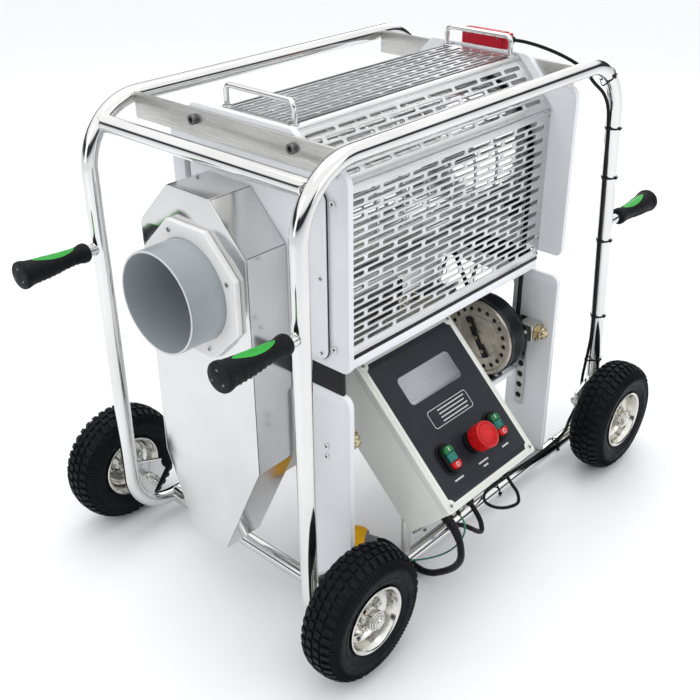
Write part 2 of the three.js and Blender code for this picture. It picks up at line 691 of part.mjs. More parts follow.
const boxOutline = (inset, radius) => outline([
  [-BOX.halfWidth + inset, -BOX.halfLength + inset, radius],
  [BOX.halfWidth - inset, -BOX.halfLength + inset, radius],
  [BOX.halfWidth - inset, BOX.halfLength - inset, radius],
  [-BOX.halfWidth + inset, BOX.halfLength - inset, radius],
]);

// The open box with its cable glands on the lower face.
function controlBox() {
  const outer = slab(boxOutline(1, 6), 'z', -BOX.depth, -BOX.lid - GAP);
  const glands = GLANDS.map(([x, z, radius]) => (
    slab(disc(z, x, radius, 12), 'y', -BOX.halfLength - GLAND_LENGTH, -BOX.halfLength + 3)
  ));
  const inner = slab(boxOutline(1 + BOX.wall, 4), 'z', -BOX.depth + BOX.wall, 0);
  return join(cut(outer, inner), ...glands);
}

const heads = [{ name: 'tumbler', x: -SWITCH.x }, { name: 'reel', x: SWITCH.x }];
const HEAD = { halfWidth: 17, halfLength: 29, height: 14 };
const ESTOP = { x: 2, radius: 27, stem: 12, seat: 10, travel: 6 };
const BUTTON = { halfWidth: 12, low: 9, high: 24, foot: 4, top: 20 };

// Each button slides in its own pocket of the bezel.
const button = (x, side, bottom, inset) => {
  const [y0, y1] = side > 0 ? [BUTTON.low, BUTTON.high] : [-BUTTON.high, -BUTTON.low];
  const w = BUTTON.halfWidth - inset;
  return block(x - w, x + w, SWITCH.y + y0 + inset, SWITCH.y + y1 - inset, bottom, BUTTON.top);
};

function switchBase(x) {
  const { halfWidth: w, halfLength: h, height } = HEAD;
  const shape = outline([
    [x - w, SWITCH.y - h, 15], [x + w, SWITCH.y - h, 15],
    [x + w, SWITCH.y + h, 15], [x - w, SWITCH.y + h, 15],
  ]);
  const body = slab(shape, 'z', GAP, height);
  return cut(body, button(x, 1, BUTTON.foot, 0), button(x, -1, BUTTON.foot, 0));
}

// The lid carries the stop button's collar.
function controlLid() {
  const plate = slab(boxOutline(0, 8), 'z', -BOX.lid, 0);
  const collar = rodZ(ESTOP.x, SWITCH.y, 22, -1, ESTOP.seat, 20);
  return cut(join(plate, collar), rodZ(ESTOP.x, SWITCH.y, ESTOP.stem + 0.5, 2, 30, 16));
}

function emergencyStop() {
  return join(
    rodZ(ESTOP.x, SWITCH.y, ESTOP.stem, 3 + ESTOP.travel, 40, 16),
    rodZ(ESTOP.x, SWITCH.y, ESTOP.radius, 24, 52, 24),
  );
}

add('control_box', controlBox(), 'cream', panel);
add('control_lid', controlLid(), 'cream', panel);
for (const { name, x } of heads) add(`${name}_switch_base`, switchBase(x), 'belt', panel);
add('emergency_stop', emergencyStop(), 'red', panel);
for (const { name, x } of heads) {
  add(`${name}_start_button`, button(x, 1, BUTTON.foot + SWITCH.press, GAP), 'green', panel);
  add(`${name}_stop_button`, button(x, -1, BUTTON.foot + SWITCH.press, GAP), 'red', panel);
}

// ---- interlock switch and cables -----------------------------------------------------------
const switchX = PLATE.far + 1;
const interlockSwitch = block(
  switchX, switchX + INTERLOCK.depth, INTERLOCK.front,
  INTERLOCK.rear, PLATE.top + GAP, PLATE.top + INTERLOCK.height,
);
add('interlock_switch', interlockSwitch, 'red');

// The interlock cable: over to the far front leg, down inside it, past the axle tab, along the
// bottom run, and up into its gland.
const INTERLOCK_ROUTE = [
  V(297, -96.6, 980), V(298, -108, 980), V(305, -124, 978), V(318, -146, 972),
  V(332, -180, 961), V(346, -212, 946), V(358, -234, 930), V(369, -252, 906),
  V(394, -262, 881), V(414.7, -264, 850), V(424.8, -264, 812), V(434.1, -264, 700), V(444.2, -264, 580),
  V(455.9, -264, 440), V(467.6, -263, 300), V(473, -254, 215),
  V(474.4, -250, 175), V(472.3, -250, 132), V(455, -251, 95),
  V(423, -255, 73.5), V(383, -268, 68.2), V(310, -273.5, 66.8), V(250, -273.5, 66.8), V(150, -268, 68.6),
  V(60, -268, 68.8), V(28, -288, 73), V(8, -326, 88), V(-4, -368, 116), V(-9, -394, 147), V(-9, -389, 168),
  V(-9, -376, 180.5), V(-9, -362, 194.5),
];
add('interlock_cable', tube(INTERLOCK_ROUTE, CORD.interlock, 8), 'belt');

// The mains lead: out of its gland, down, under the frame's bottom tube, and into the plug.
const POWER_ROUTE = [
  V(-221, -377.2, 210.3), V(-221, -391, 196.5), V(-220, -401, 176), V(-216, -403, 150), V(-209, -397, 122),
  V(-201, -382, 94), V(-193, -361, 67), V(-187, -337, 43), V(-183, -312, 23), V(-180, -288, 11.5),
  V(-176, -262, 7.8), V(-171, -236, 7.8), V(-169, -212, 11),
  V(-172, -193, 20), V(-177.9, -178.5, 26.4), V(-184, -166, 26.5),
];

// One motor lead and the earth wire, each back to the frame's bottom tube.
const MOTOR_ROUTE = [
  V(-139, -367.4, 200.3), V(-139, -380, 187.6), V(-138, -390, 172), V(-134, -392, 153), V(-126, -385, 136),
  V(-115, -369, 121), V(-103, -346, 108), V(-92, -320, 95),
  V(-84, -298, 80), V(-79, -284, 68), V(-78, -275.8, 60.3),
];
const EARTH_ROUTE = [
  V(-197, -382.8, 216), V(-197, -392, 206), V(-199, -397, 189), V(-203, -393, 167), V(-207, -380, 143),
  V(-211, -360, 119), V(-214, -335, 97), V(-217, -310, 79), V(-219, -290, 67), V(-220, -275.8, 60.3),
];

add('power_cord', tube(smooth(POWER_ROUTE, 24), CORD.power, 10), 'belt');
add('motor_cable', tube(smooth(MOTOR_ROUTE, 16), CORD.cable, 8), 'belt');
add('earth_wire', tube(smooth(EARTH_ROUTE, 24), CORD.earth, 8), 'green');

// The plug lies on the ground: a strain relief, a body and a wider grip ring, along its own axis.
const PLUG_PROFILE = [
  [0, 0], [8.5, 0], [11, 20], [20, 24], [24, 34], [24, 62], [26, 66], [26, 90], [20, 94], [0, 94],
];
const plug = add('power_plug', turned(PLUG_PROFILE, 'x', 16), 'yellow');
const plugStart = POWER_ROUTE[POWER_ROUTE.length - 1];
const PLUG_HEADING = THREE.MathUtils.degToRad(116);
plug.position.set(
  plugStart.x + 3 * GAP * Math.cos(PLUG_HEADING), plugStart.y + 3 * GAP * Math.sin(PLUG_HEADING), plugStart.z,
);
plug.rotation.z = PLUG_HEADING;

export default group;
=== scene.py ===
"""Looks of a wheeled tumble trimmer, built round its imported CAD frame. Metres, +Z up."""

import math

import bmesh
import bpy
from mathutils import Matrix, Vector


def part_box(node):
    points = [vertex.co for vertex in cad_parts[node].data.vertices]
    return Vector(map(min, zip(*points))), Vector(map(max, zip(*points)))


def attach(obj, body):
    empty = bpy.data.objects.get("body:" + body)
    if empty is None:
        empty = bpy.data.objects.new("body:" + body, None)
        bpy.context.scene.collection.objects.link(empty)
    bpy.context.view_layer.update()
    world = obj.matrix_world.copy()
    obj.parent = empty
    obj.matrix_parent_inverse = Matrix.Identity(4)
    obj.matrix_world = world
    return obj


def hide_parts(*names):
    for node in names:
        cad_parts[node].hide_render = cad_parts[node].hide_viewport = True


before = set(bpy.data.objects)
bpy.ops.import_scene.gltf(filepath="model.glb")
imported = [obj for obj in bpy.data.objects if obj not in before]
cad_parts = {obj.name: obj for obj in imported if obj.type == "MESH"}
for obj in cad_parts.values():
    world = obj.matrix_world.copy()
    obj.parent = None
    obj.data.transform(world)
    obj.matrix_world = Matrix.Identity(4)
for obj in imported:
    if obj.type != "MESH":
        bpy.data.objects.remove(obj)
for leftover in ("Cube", "Light", "Camera"):  # the start-up scene's own objects
    if leftover in bpy.data.objects:
        bpy.data.objects.remove(bpy.data.objects[leftover])
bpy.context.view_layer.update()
GAP = 0.0003  # clearance between CAD pieces that touch
TIP = 1e-6  # the radius of a turned profile where it meets its axis
WASHER = 0.0014  # a washer's thickness
CORD_STEPS = 150  # lengths that a free cord is drawn in
SLEEVE_LENGTH = 0.034  # the strain relief's reach along the mains lead


# ---- camera ------------------------------------------------------------------------------------
CAMERA_AT = (-1.469, -1.2671, 1.4364)
CAMERA_AZIMUTH, CAMERA_ELEVATION, CAMERA_ROLL = -47.5, 29.2, -0.4
CAMERA_LENS = 52.34


def make_camera():
    """A camera that looks down along its azimuth, level but for a slight roll."""
    a, e, roll = (math.radians(v) for v in (CAMERA_AZIMUTH, CAMERA_ELEVATION, CAMERA_ROLL))
    back = Vector((math.sin(a) * math.cos(e), -math.cos(a) * math.cos(e), math.sin(e)))
    level_right = Vector((math.cos(a), math.sin(a), 0))
    level_up = back.cross(level_right)
    right = level_right * math.cos(roll) + level_up * math.sin(roll)
    up = level_up * math.cos(roll) - level_right * math.sin(roll)
    data = bpy.data.cameras.new("camera")
    data.lens, data.sensor_width = CAMERA_LENS, 36
    data.clip_start, data.clip_end = 0.05, 60
    camera = bpy.data.objects.new("camera", data)
    camera.matrix_world = Matrix((
        (right.x, up.x, back.x, CAMERA_AT[0]),
        (right.y, up.y, back.y, CAMERA_AT[1]),
        (right.z, up.z, back.z, CAMERA_AT[2]),
        (0, 0, 0, 1),
    ))
    bpy.context.scene.collection.objects.link(camera)
    bpy.context.scene.camera = camera


make_camera()


# ---- outlines and routes -----------------------------------------------------------------------
def rounded(points, steps=6):
    """A 2D outline whose corners given as (a, b, radius) are arcs."""
    out = []
    for i, point in enumerate(points):
        corner = Vector(point[:2])
        radius = point[2] if len(point) > 2 else 0
        if not radius:
            out.append(corner)
            continue
        back = (Vector(points[i - 1][:2]) - corner).normalized()
        on = (Vector(points[(i + 1) % len(points)][:2]) - corner).normalized()
        half = back.angle(on) / 2
        centre = corner + (back + on).normalized() * (radius / math.sin(half))
        first, last = (corner + way * (radius / math.tan(half)) - centre for way in (back, on))
        start = math.atan2(first.y, first.x)
        turn = (math.atan2(last.y, last.x) - start + math.pi) % (2 * math.pi) - math.pi
        for k in range(steps + 1):
            angle = start + turn * k / steps
            out.append(centre + radius * Vector((math.cos(angle), math.sin(angle))))
    return out


def circle(a, b, radius, sides=48):
    step = 2 * math.pi / sides
    return [Vector((a + radius * math.cos(k * step), b + radius * math.sin(k * step))) for k in range(sides)]


def oblong(a, b, length, width, steps=5):
    """A slot outline with round ends, long in its first coordinate."""
    half, r = length / 2, width / 2
    return rounded([(a - half, b - r, r * 0.999), (a + half, b - r, r * 0.999),
                    (a + half, b + r, r * 0.999), (a - half, b + r, r * 0.999)], steps)


def box_outline(a0, a1, b0, b1, radius=0.0, steps=6):
    return rounded([(a0, b0, radius), (a1, b0, radius), (a1, b1, radius), (a0, b1, radius)], steps)


def bent(corners, radii, steps=10):
    """An open 3D path whose inner corners are arcs."""
    corners = [Vector(c) for c in corners]
    out = [corners[0]]
    for i in range(1, len(corners) - 1):
        radius = radii[i - 1] if isinstance(radii, (list, tuple)) else radii
        back = (corners[i - 1] - corners[i]).normalized()
        on = (corners[i + 1] - corners[i]).normalized()
        half = back.angle(on) / 2
        centre = corners[i] + (back + on).normalized() * (radius / math.sin(half))
        first = corners[i] + back * (radius / math.tan(half)) - centre
        last = corners[i] + on * (radius / math.tan(half)) - centre
        sweep = first.angle(last)
        for k in range(steps + 1):
            a = math.sin(sweep * (1 - k / steps)) / math.sin(sweep)
            b = math.sin(sweep * k / steps) / math.sin(sweep)
            out.append(centre + first * a + last * b)
    return [*out, corners[-1]]


def spaced(points, count):
    """Points an even distance apart along a polyline."""
    lengths = [0.0]
    for a, b in zip(points, points[1:]):
        lengths.append(lengths[-1] + (b - a).length)
    out, i = [], 0
    for k in range(count + 1):
        target = lengths[-1] * k / count
        while i < len(points) - 2 and lengths[i + 1] < target:
            i += 1
        part = (target - lengths[i]) / max(lengths[i + 1] - lengths[i], 1e-12)
        out.append(points[i].lerp(points[i + 1], min(max(part, 0), 1)))
    return out


def smooth(points, count):
    """A centripetal Catmull-Rom curve through the points, as evenly spaced points."""
    p = [Vector(q) for q in points]
    p = [2 * p[0] - p[1], *p, 2 * p[-1] - p[-2]]
    fine = []
    for a, b, c, d in zip(p, p[1:], p[2:], p[3:]):
        k0, k1, k2 = ((v - u).length ** 0.5 for u, v in ((a, b), (b, c), (c, d)))
        t1 = ((b - a) / k0 - (c - a) / (k0 + k1) + (c - b) / k1) * k1
        t2 = ((c - b) / k1 - (d - b) / (k1 + k2) + (d - c) / k2) * k1
        for k in range(40):
            t = k / 40
            fine.append(b + t1 * t + (3 * (c - b) - 2 * t1 - t2) * t ** 2
                        + (2 * (b - c) + t1 + t2) * t ** 3)
    return spaced([*fine, p[-2]], count)


# ---- shells: closed surfaces as (points, faces) --------------------------------------------------
def loft(rings, closed=False):
    """Rings of equal count joined side to side, with flat ends unless the rings close up."""
    n = len(rings[0])
    points = [Vector(p) for ring in rings for p in ring]
    faces = []
    for i in range(len(rings) if closed else len(rings) - 1):
        a, b = i * n, (i + 1) % len(rings) * n
        faces += [(a + k, a + (k + 1) % n, b + (k + 1) % n, b + k) for k in range(n)]
    if not closed:
        faces.append(tuple(reversed(range(n))))
        faces.append(tuple(range(len(points) - n, len(points))))
    return points, faces


def lathe(profile, steps=48):
    """A profile of (radius, along, fillet) turned about local z. It closes on itself."""
    profile = rounded(profile, 3)
    rings = []
    for radius, along in ((p.x, p.y) for p in profile):
        rings.append([Vector((max(radius, TIP) * math.cos(2 * math.pi * k / steps),
                              max(radius, TIP) * math.sin(2 * math.pi * k / steps), along))
                      for k in range(steps)])
    return loft(rings, closed=True)


def rod(radius, low, high, low_edge, high_edge, steps):
    """A solid round bar along local z with its two rims rounded."""
    return lathe([(TIP, low), (radius, low, low_edge), (radius, high, high_edge), (TIP, high)], steps)


def tube(points, radius, sides=20):
    """A round section, or one radius for each point, along a path without twist."""
    points = [Vector(p) for p in points]
    radii = radius if isinstance(radius, list) else [radius] * len(points)
    normal, before, rings = None, None, []
    for i, point in enumerate(points):
        near = [points[j] for j in (i - 1, i, i + 1) if 0 <= j < len(points)]
        tangent = sum(((b - a).normalized() for a, b in zip(near, near[1:])), Vector()).normalized()
        if normal is None:
            normal = tangent.orthogonal().normalized()
        else:
            normal = (before.rotation_difference(tangent) @ normal).normalized()
        before, side = tangent, tangent.cross(normal)
        rings.append([point + radii[i] * (normal * math.cos(t) + side * math.sin(t))
                      for t in (2 * math.pi * k / sides for k in range(sides))])
    return loft(rings)


def flat(outline, thick, holes=(), edge=0.0006, steps=2):
    """A plate from local z = 0 to its thickness, with holes and rounded edges."""
    curve = bpy.data.curves.new("flat", "CURVE")
    curve.dimensions, curve.fill_mode = "2D", "BOTH"
    curve.extrude, curve.bevel_depth = thick / 2 - edge, edge
    curve.bevel_resolution, curve.offset = steps, -edge
    for loop in (outline, *holes):
        spline = curve.splines.new("POLY")
        spline.points.add(len(loop) - 1)
        spline.use_cyclic_u = True
        for target, p in zip(spline.points, loop):
            target.co = (p[0], p[1], 0, 1)
    holder = bpy.data.objects.new("flat", curve)
    bpy.context.scene.collection.objects.link(holder)
    mesh = bpy.data.meshes.new_from_object(holder.evaluated_get(bpy.context.evaluated_depsgraph_get()))
    bm = bmesh.new()
    bm.from_mesh(mesh)
    bmesh.ops.remove_doubles(bm, verts=bm.verts, dist=1e-7)
    bm.verts.index_update()
    lift = Vector((0, 0, thick / 2))
    made = [v.co + lift for v in bm.verts], [tuple(v.index for v in f.verts) for f in bm.faces]
    bm.free()
    bpy.data.objects.remove(holder)
    bpy.data.curves.remove(curve)
    bpy.data.meshes.remove(mesh)
    return made


def brick(lo, hi, edge=0.0008, steps=2):
    """A box between two corners with rounded edges."""
    bm = bmesh.new()
    bmesh.ops.create_cube(bm, size=1)
    lo, hi = Vector(lo), Vector(hi)
    for v in bm.verts:
        v.co = (lo + hi) / 2 + Vector(v.co[i] * (hi[i] - lo[i]) for i in range(3))
    bmesh.ops.bevel(bm, geom=bm.edges[:] + bm.verts[:], offset=edge, segments=steps, profile=0.5,
                    affect="EDGES", clamp_overlap=True)
    bm.verts.index_update()
    made = [v.co.copy() for v in bm.verts], [tuple(v.index for v in f.verts) for f in bm.faces]
    bm.free()
    return made


# ---- places ------------------------------------------------------------------------------------
TURNS = {  # local x, y and z of a shape that points along each axis
    "x": ((0, 1, 0), (0, 0, 1), (1, 0, 0)),
    "y": ((0, 0, 1), (1, 0, 0), (0, 1, 0)),
    "z": ((1, 0, 0), (0, 1, 0), (0, 0, 1)),
    "-x": ((0, -1, 0), (0, 0, 1), (-1, 0, 0)),
    "-y": ((0, 0, 1), (-1, 0, 0), (0, -1, 0)),
    "-z": ((1, 0, 0), (0, -1, 0), (0, 0, -1)),
}


def move(x, y, z):
    return Matrix.Translation((x, y, z))


def spin(angle):
    """A turn about local z."""
    return Matrix.Rotation(angle, 4, "Z")


def at(x, y, z, way="z"):
    """The placement whose local z points along an axis, or along any vector."""
    if isinstance(way, str):
        turn = Matrix(TURNS[way]).transposed().to_4x4()
    else:
        turn = Vector((0, 0, 1)).rotation_difference(Vector(way)).to_matrix().to_4x4()
    return move(x, y, z) @ turn


class Piece:
    """One object made of closed shells."""

    def __init__(self, name):
        self.name, self.points, self.faces, self.looks, self.face_looks = name, [], [], [], []

    def put(self, shell, look, place=None):
        """Adds a shell in a material, moved to a place."""
        points, faces = shell
        first = len(self.points)
        self.points += [place @ p for p in points] if place else points
        self.faces += [tuple(first + k for k in f) for f in faces]
        if look not in self.looks:
            self.looks.append(look)
        self.face_looks += [self.looks.index(look)] * len(faces)
        return self

    def make(self, body, *nodes, slot=None, sharp=32):
        """The finished object, riding on a body in place of CAD nodes."""
        mesh = bpy.data.meshes.new(self.name)
        mesh.from_pydata([tuple(p) for p in self.points], [], self.faces)
        for look in self.looks:
            mesh.materials.append(look)
        mesh.polygons.foreach_set("material_index", self.face_looks)
        bm = bmesh.new()
        bm.from_mesh(mesh)
        bmesh.ops.remove_doubles(bm, verts=bm.verts, dist=1.5e-6)
        bmesh.ops.recalc_face_normals(bm, faces=bm.faces)
        bm.to_mesh(mesh)
        bm.free()
        mesh.polygons.foreach_set("use_smooth", [True] * len(mesh.polygons))
        mesh.set_sharp_from_angle(angle=math.radians(sharp))
        made = bpy.data.objects.new(self.name, mesh)
        bpy.context.scene.collection.objects.link(made)
        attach(made, body)
        if nodes:
            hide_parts(*nodes)
        return made


# ---- cords -------------------------------------------------------------------------------------
POWER_ROUTE = [
    (-0.221, -0.3772, 0.2103), (-0.221, -0.391, 0.1965), (-0.22, -0.401, 0.176), (-0.216, -0.403, 0.15),
    (-0.209, -0.397, 0.122), (-0.201, -0.382, 0.094), (-0.193, -0.361, 0.067), (-0.187, -0.337, 0.043),
    (-0.183, -0.312, 0.023), (-0.18, -0.288, 0.0115), (-0.176, -0.262, 0.0078), (-0.171, -0.236, 0.0078),
    (-0.169, -0.212, 0.011), (-0.172, -0.193, 0.02), (-0.1779, -0.1785, 0.0264), (-0.184, -0.166, 0.0265),
]
MOTOR_ROUTE = [
    (-0.139, -0.3674, 0.2003), (-0.139, -0.38, 0.1876), (-0.138, -0.39, 0.172), (-0.134, -0.392, 0.153),
    (-0.126, -0.385, 0.136), (-0.115, -0.369, 0.121), (-0.103, -0.346, 0.108), (-0.092, -0.32, 0.095),
    (-0.084, -0.298, 0.08), (-0.079, -0.284, 0.068), (-0.078, -0.2758, 0.0603),
]
EARTH_ROUTE = [
    (-0.197, -0.3828, 0.216), (-0.197, -0.392, 0.206), (-0.199, -0.397, 0.189), (-0.203, -0.393, 0.167),
    (-0.207, -0.38, 0.143), (-0.211, -0.36, 0.119), (-0.214, -0.335, 0.097), (-0.217, -0.31, 0.079),
    (-0.219, -0.29, 0.067), (-0.22, -0.2758, 0.0603),
]


# ---- finishes ----------------------------------------------------------------------------------
class Finish:
    """A procedural material: a base shader, with masks made from noise that vary it."""

    def __init__(self, name, color, rough, metal=0.0, **sockets):
        self.material = bpy.data.materials.new(name)
        self.material.use_nodes = True
        self.tree = self.material.node_tree
        self.shader = self.tree.nodes["Principled BSDF"]
        self.color = (*color, 1)
        self.normal = None
        self.set(self.shader, base_color=self.color, roughness=rough, metallic=metal, **sockets)
        self.coords = self.tree.nodes.new("ShaderNodeTexCoord").outputs["Object"]

    def set(self, node, **values):
        for key, value in values.items():
            names = [s.name for s in node.inputs]
            wanted = next(n for n in names if n.lower().replace(" ", "_") == key)
            node.inputs[wanted].default_value = value

    def node(self, kind, **values):
        made = self.tree.nodes.new("ShaderNode" + kind)
        self.set(made, **values)
        return made

    def link(self, out, socket):
        self.tree.links.new(out, socket)

    def place(self, stretch):
        """Object coordinates, stretched by a factor along each axis."""
        mapping = self.node("Mapping", scale=stretch)
        self.link(self.coords, mapping.inputs["Vector"])
        return mapping.outputs["Vector"]

    def noise(self, scale, detail=3.0, stretch=(1, 1, 1), distortion=0.0):
        made = self.node("TexNoise", scale=scale, detail=detail, distortion=distortion)
        self.link(self.place(stretch), made.inputs["Vector"])
        return made.outputs["Fac"]

    def cells(self, scale):
        made = self.node("TexVoronoi", scale=scale)
        self.link(self.place((1, 1, 1)), made.inputs["Vector"])
        return made.outputs["Distance"]

    def edges(self, low=0.51, high=0.56):
        """A mask that is one on convex edges."""
        return self.spread(self.tree.nodes.new("ShaderNodeNewGeometry").outputs["Pointiness"], low, high)

    def spread(self, mask, low, high, to_low=0.0, to_high=1.0):
        made = self.node("MapRange", from_min=low, from_max=high, to_min=to_low, to_max=to_high)
        self.link(mask, made.inputs["Value"])
        return made.outputs["Result"]

    def tint(self, other, mask):
        """Mixes the base colour towards another one by a mask."""
        mix = self.tree.nodes.new("ShaderNodeMix")
        mix.data_type = "RGBA"
        socket = self.shader.inputs["Base Color"]
        if socket.is_linked:
            self.link(socket.links[0].from_socket, mix.inputs[6])
        else:
            mix.inputs[6].default_value = self.color
        mix.inputs[7].default_value = (*other, 1)
        self.link(mask, mix.inputs[0])
        self.link(mix.outputs[2], socket)

    def rough(self, mask, low, high):
        """Sets roughness from low to high by a mask of about 0.3 to 0.7."""
        self.link(self.spread(mask, 0.3, 0.7, low, high), self.shader.inputs["Roughness"])

    def bump(self, mask, depth, strength=1.0):
        """Adds relief of that depth in metres."""
        made = self.node("Bump", strength=strength, distance=depth)
        self.link(mask, made.inputs["Height"])
        if self.normal:
            self.link(self.normal, made.inputs["Normal"])
        self.normal = made.outputs["Normal"]
        self.link(self.normal, self.shader.inputs["Normal"])


def polished(name, color, low, high, wave=0.0):
    """Bright metal with smears, fine scratches and, on sheet, a slow waviness."""
    f = Finish(name, color, low, 1.0)
    f.rough(f.noise(9, 6, distortion=0.6), low, high)
    f.tint(tuple(c * 0.86 for c in color), f.spread(f.noise(3.2, 3), 0.45, 0.75))
    f.bump(f.noise(260, 3, (1, 1, 0.12)), 0.00004, 0.35)
    if wave:
        f.bump(f.noise(4.5, 1), wave, 0.6)
    return f.material


def brushed(name, color, along, low=0.24, high=0.4):
    """Sheet metal with a grain along one axis."""
    f = Finish(name, color, low, 1.0)
    stretch = tuple(0.02 if axis == along else 1 for axis in "xyz")
    grain = f.noise(900, 2, stretch)
    f.rough(grain, low, high)
    f.tint(tuple(c * 0.8 for c in color), f.spread(grain, 0.35, 0.75))
    f.tint(tuple(min(1, c * 1.12) for c in color), f.spread(f.noise(5, 3), 0.45, 0.8))
    f.bump(grain, 0.00003, 0.5)
    return f.material


def coated(name, color, rough, edge=1.0, grain=1400, depth=0.00004, blotch=0.94, gloss=0.5):
    """Paint or moulded plastic: fine texture, faint mottling, and paler or darker edges."""
    f = Finish(name, color, rough, specular_ior_level=gloss)
    f.rough(f.noise(60, 5), rough * 0.85, rough * 1.2)
    f.tint(tuple(c * blotch for c in color), f.spread(f.noise(14, 4), 0.42, 0.72))
    f.tint(tuple(min(1, c * edge) for c in color), f.edges())
    f.bump(f.noise(grain, 2), depth, 0.5)
    return f.material


def rubbery(name, color, rough=0.62, dust=(0.16, 0.16, 0.165), amount=0.55, grain=900):
    """Rubber with patches of dust and a soft sheen."""
    f = Finish(name, color, rough, specular_ior_level=0.12)
    f.rough(f.noise(80, 4), rough * 0.8, min(1, rough * 1.25))
    f.tint(dust, f.spread(f.noise(22, 5), 0.5, 0.95, 0, amount))
    f.bump(f.noise(grain, 3), 0.00008, 0.5)
    return f.material


def knurled(name, color):
    """Grip rubber with a fine raised diamond texture."""
    f = Finish(name, color, 0.55, specular_ior_level=0.14)
    f.rough(f.noise(120, 3), 0.42, 0.66)
    f.tint(tuple(c * 2.2 for c in color), f.edges(0.5, 0.6))
    f.bump(f.cells(330), 0.0005, 0.8)
    f.bump(f.noise(1500, 2), 0.00006, 0.4)
    return f.material


def plated(name, color, warm):
    """Zinc plate: a bright metal with slow faint straw clouds and small spangles."""
    f = Finish(name, color, 0.2, 1.0)
    f.rough(f.cells(220), 0.1, 0.19)
    f.tint(warm, f.spread(f.noise(5, 2), 0.4, 0.8, 0, 0.6))
    f.tint(tuple(c * 0.86 for c in color), f.spread(f.noise(60, 3), 0.55, 0.85, 0, 0.6))
    f.bump(f.noise(180, 2), 0.00003, 0.3)
    return f.material


STAINLESS = polished("stainless_tube", (0.76, 0.76, 0.75), 0.05, 0.15)
MIRROR = polished("polished_sheet", (0.7, 0.7, 0.7), 0.09, 0.2, wave=0.0012)
BRUSHED_X = brushed("brushed_along_x", (0.68, 0.685, 0.69), "x")
BRUSHED_Y = brushed("brushed_along_y", (0.58, 0.575, 0.56), "y")
GROUND_STEEL = brushed("ground_steel", (0.52, 0.52, 0.52), "x", 0.22, 0.42)
DARK_STEEL = brushed("dark_steel", (0.2, 0.2, 0.21), "x", 0.3, 0.5)
ZINC = plated("zinc_plate", (0.7, 0.7, 0.67), (0.68, 0.66, 0.56))
BRASS = plated("brass", (0.55, 0.47, 0.31), (0.46, 0.37, 0.22))
WHITE = coated("white_coat", (0.74, 0.76, 0.785), 0.42, 1.25, 700, 0.00006, 0.97)
FLANGE_WHITE = coated("white_plastic", (0.8, 0.8, 0.79), 0.32, 1.15, 300, 0.00004)
CREAM = coated("cream_enclosure", (0.69, 0.71, 0.665), 0.38, 1.25, 900, 0.00008, 0.96)
OVERLAY = coated("charcoal_overlay", (0.019, 0.022, 0.028), 0.36, 1.6, 1600, 0.00004, 1.25, 0.2)
LINE = coated("pale_line", (0.62, 0.63, 0.64), 0.4, 1.0)
PIPE = coated("grey_pipe", (0.27, 0.3, 0.315), 0.32, 1.35, 240, 0.00006, 0.93)
PIPE_CUT = coated("cut_pipe", (0.6, 0.62, 0.62), 0.55, 1.0, 800, 0.0001)
BLACK = coated("black_moulding", (0.005, 0.005, 0.006), 0.34, 2.5, 900, 0.00006, 1.4, 0.18)
ENAMEL = coated("black_enamel", (0.007, 0.008, 0.012), 0.22, 3.0, 200, 0.00006, 1.3, 0.4)
RED = coated("red_moulding", (0.55, 0.008, 0.01), 0.26, 1.3, 500, 0.00004, 0.8, 0.3)
SWITCH_RED = coated("switch_red", (0.4, 0.006, 0.02), 0.42, 1.3, 500, 0.00004, 0.8, 0.25)
GREEN = coated("green_button", (0.012, 0.16, 0.045), 0.3, 1.5, 500, 0.00004, 0.8, 0.3)
TEAL = coated("teal_window", (0.008, 0.12, 0.1), 0.25, 1.5, 500, 0.00004, 0.8, 0.35)
GREEN_INLAY = coated("green_inlay", (0.03, 0.36, 0.045), 0.4, 1.3, 700, 0.00006, 0.85, 0.3)
YELLOW = coated("yellow_plug", (0.9, 0.46, 0.006), 0.4, 1.1, 700, 0.00008, 0.9, 0.3)
GREY_RUBBER = rubbery("grey_boot", (0.22, 0.23, 0.25), 0.55)
JACKET = rubbery("cord_jacket", (0.006, 0.006, 0.007), 0.42, (0.03, 0.03, 0.032))
EARTH_GREEN = coated("green_insulation", (0.008, 0.17, 0.09), 0.32, 1.3, 900, 0.00004)
TYRE = rubbery("tyre_rubber", (0.0045, 0.0056, 0.0078), 0.5, (0.016, 0.018, 0.022), 0.5)
BELT = rubbery("belt_rubber", (0.005, 0.005, 0.007), 0.4, (0.02, 0.02, 0.022))
GRIP = knurled("grip_rubber", (0.005, 0.0054, 0.0062))


def cast_metal():
    f = Finish("cast_metal", (0.5, 0.47, 0.4), 0.34, 1.0)
    f.rough(f.noise(90, 5), 0.26, 0.46)
    f.tint((0.34, 0.31, 0.26), f.spread(f.noise(30, 4), 0.45, 0.7))
    f.bump(f.noise(420, 3), 0.00015, 0.5)
    return f.material


CAST = cast_metal()
NAMEPLATE = brushed("nameplate", (0.34, 0.35, 0.37), "x", 0.3, 0.45)


# ---- small hardware ----------------------------------------------------------------------------
def hexagon(across):
    return circle(0, 0, across / math.sqrt(3), 6)


def cross_slot(size):
    w, s = size * 0.16, size * 0.42
    return [Vector(p) for p in ((-s, -w), (-w, -w), (-w, -s), (w, -s), (w, -w), (s, -w),
                                (s, w), (w, w), (w, s), (-w, s), (-w, w), (-s, w))]


def hex_bolt(piece, place, across, high, look=ZINC):
    """A hexagon head on a washer, with a low crown."""
    piece.put(rod(across * 0.78, 0, WASHER, 0.0003, 0.0003, 28), look, place)
    up = place @ move(0, 0, WASHER)
    piece.put(flat(hexagon(across), high, edge=0.0007), look, up)
    crown = [(TIP, high - 0.0004), (across * 0.42, high - 0.0004), (across * 0.3, high + 0.0006, 0.0006),
             (TIP, high + 0.0006)]
    piece.put(lathe(crown, 20), look, up)


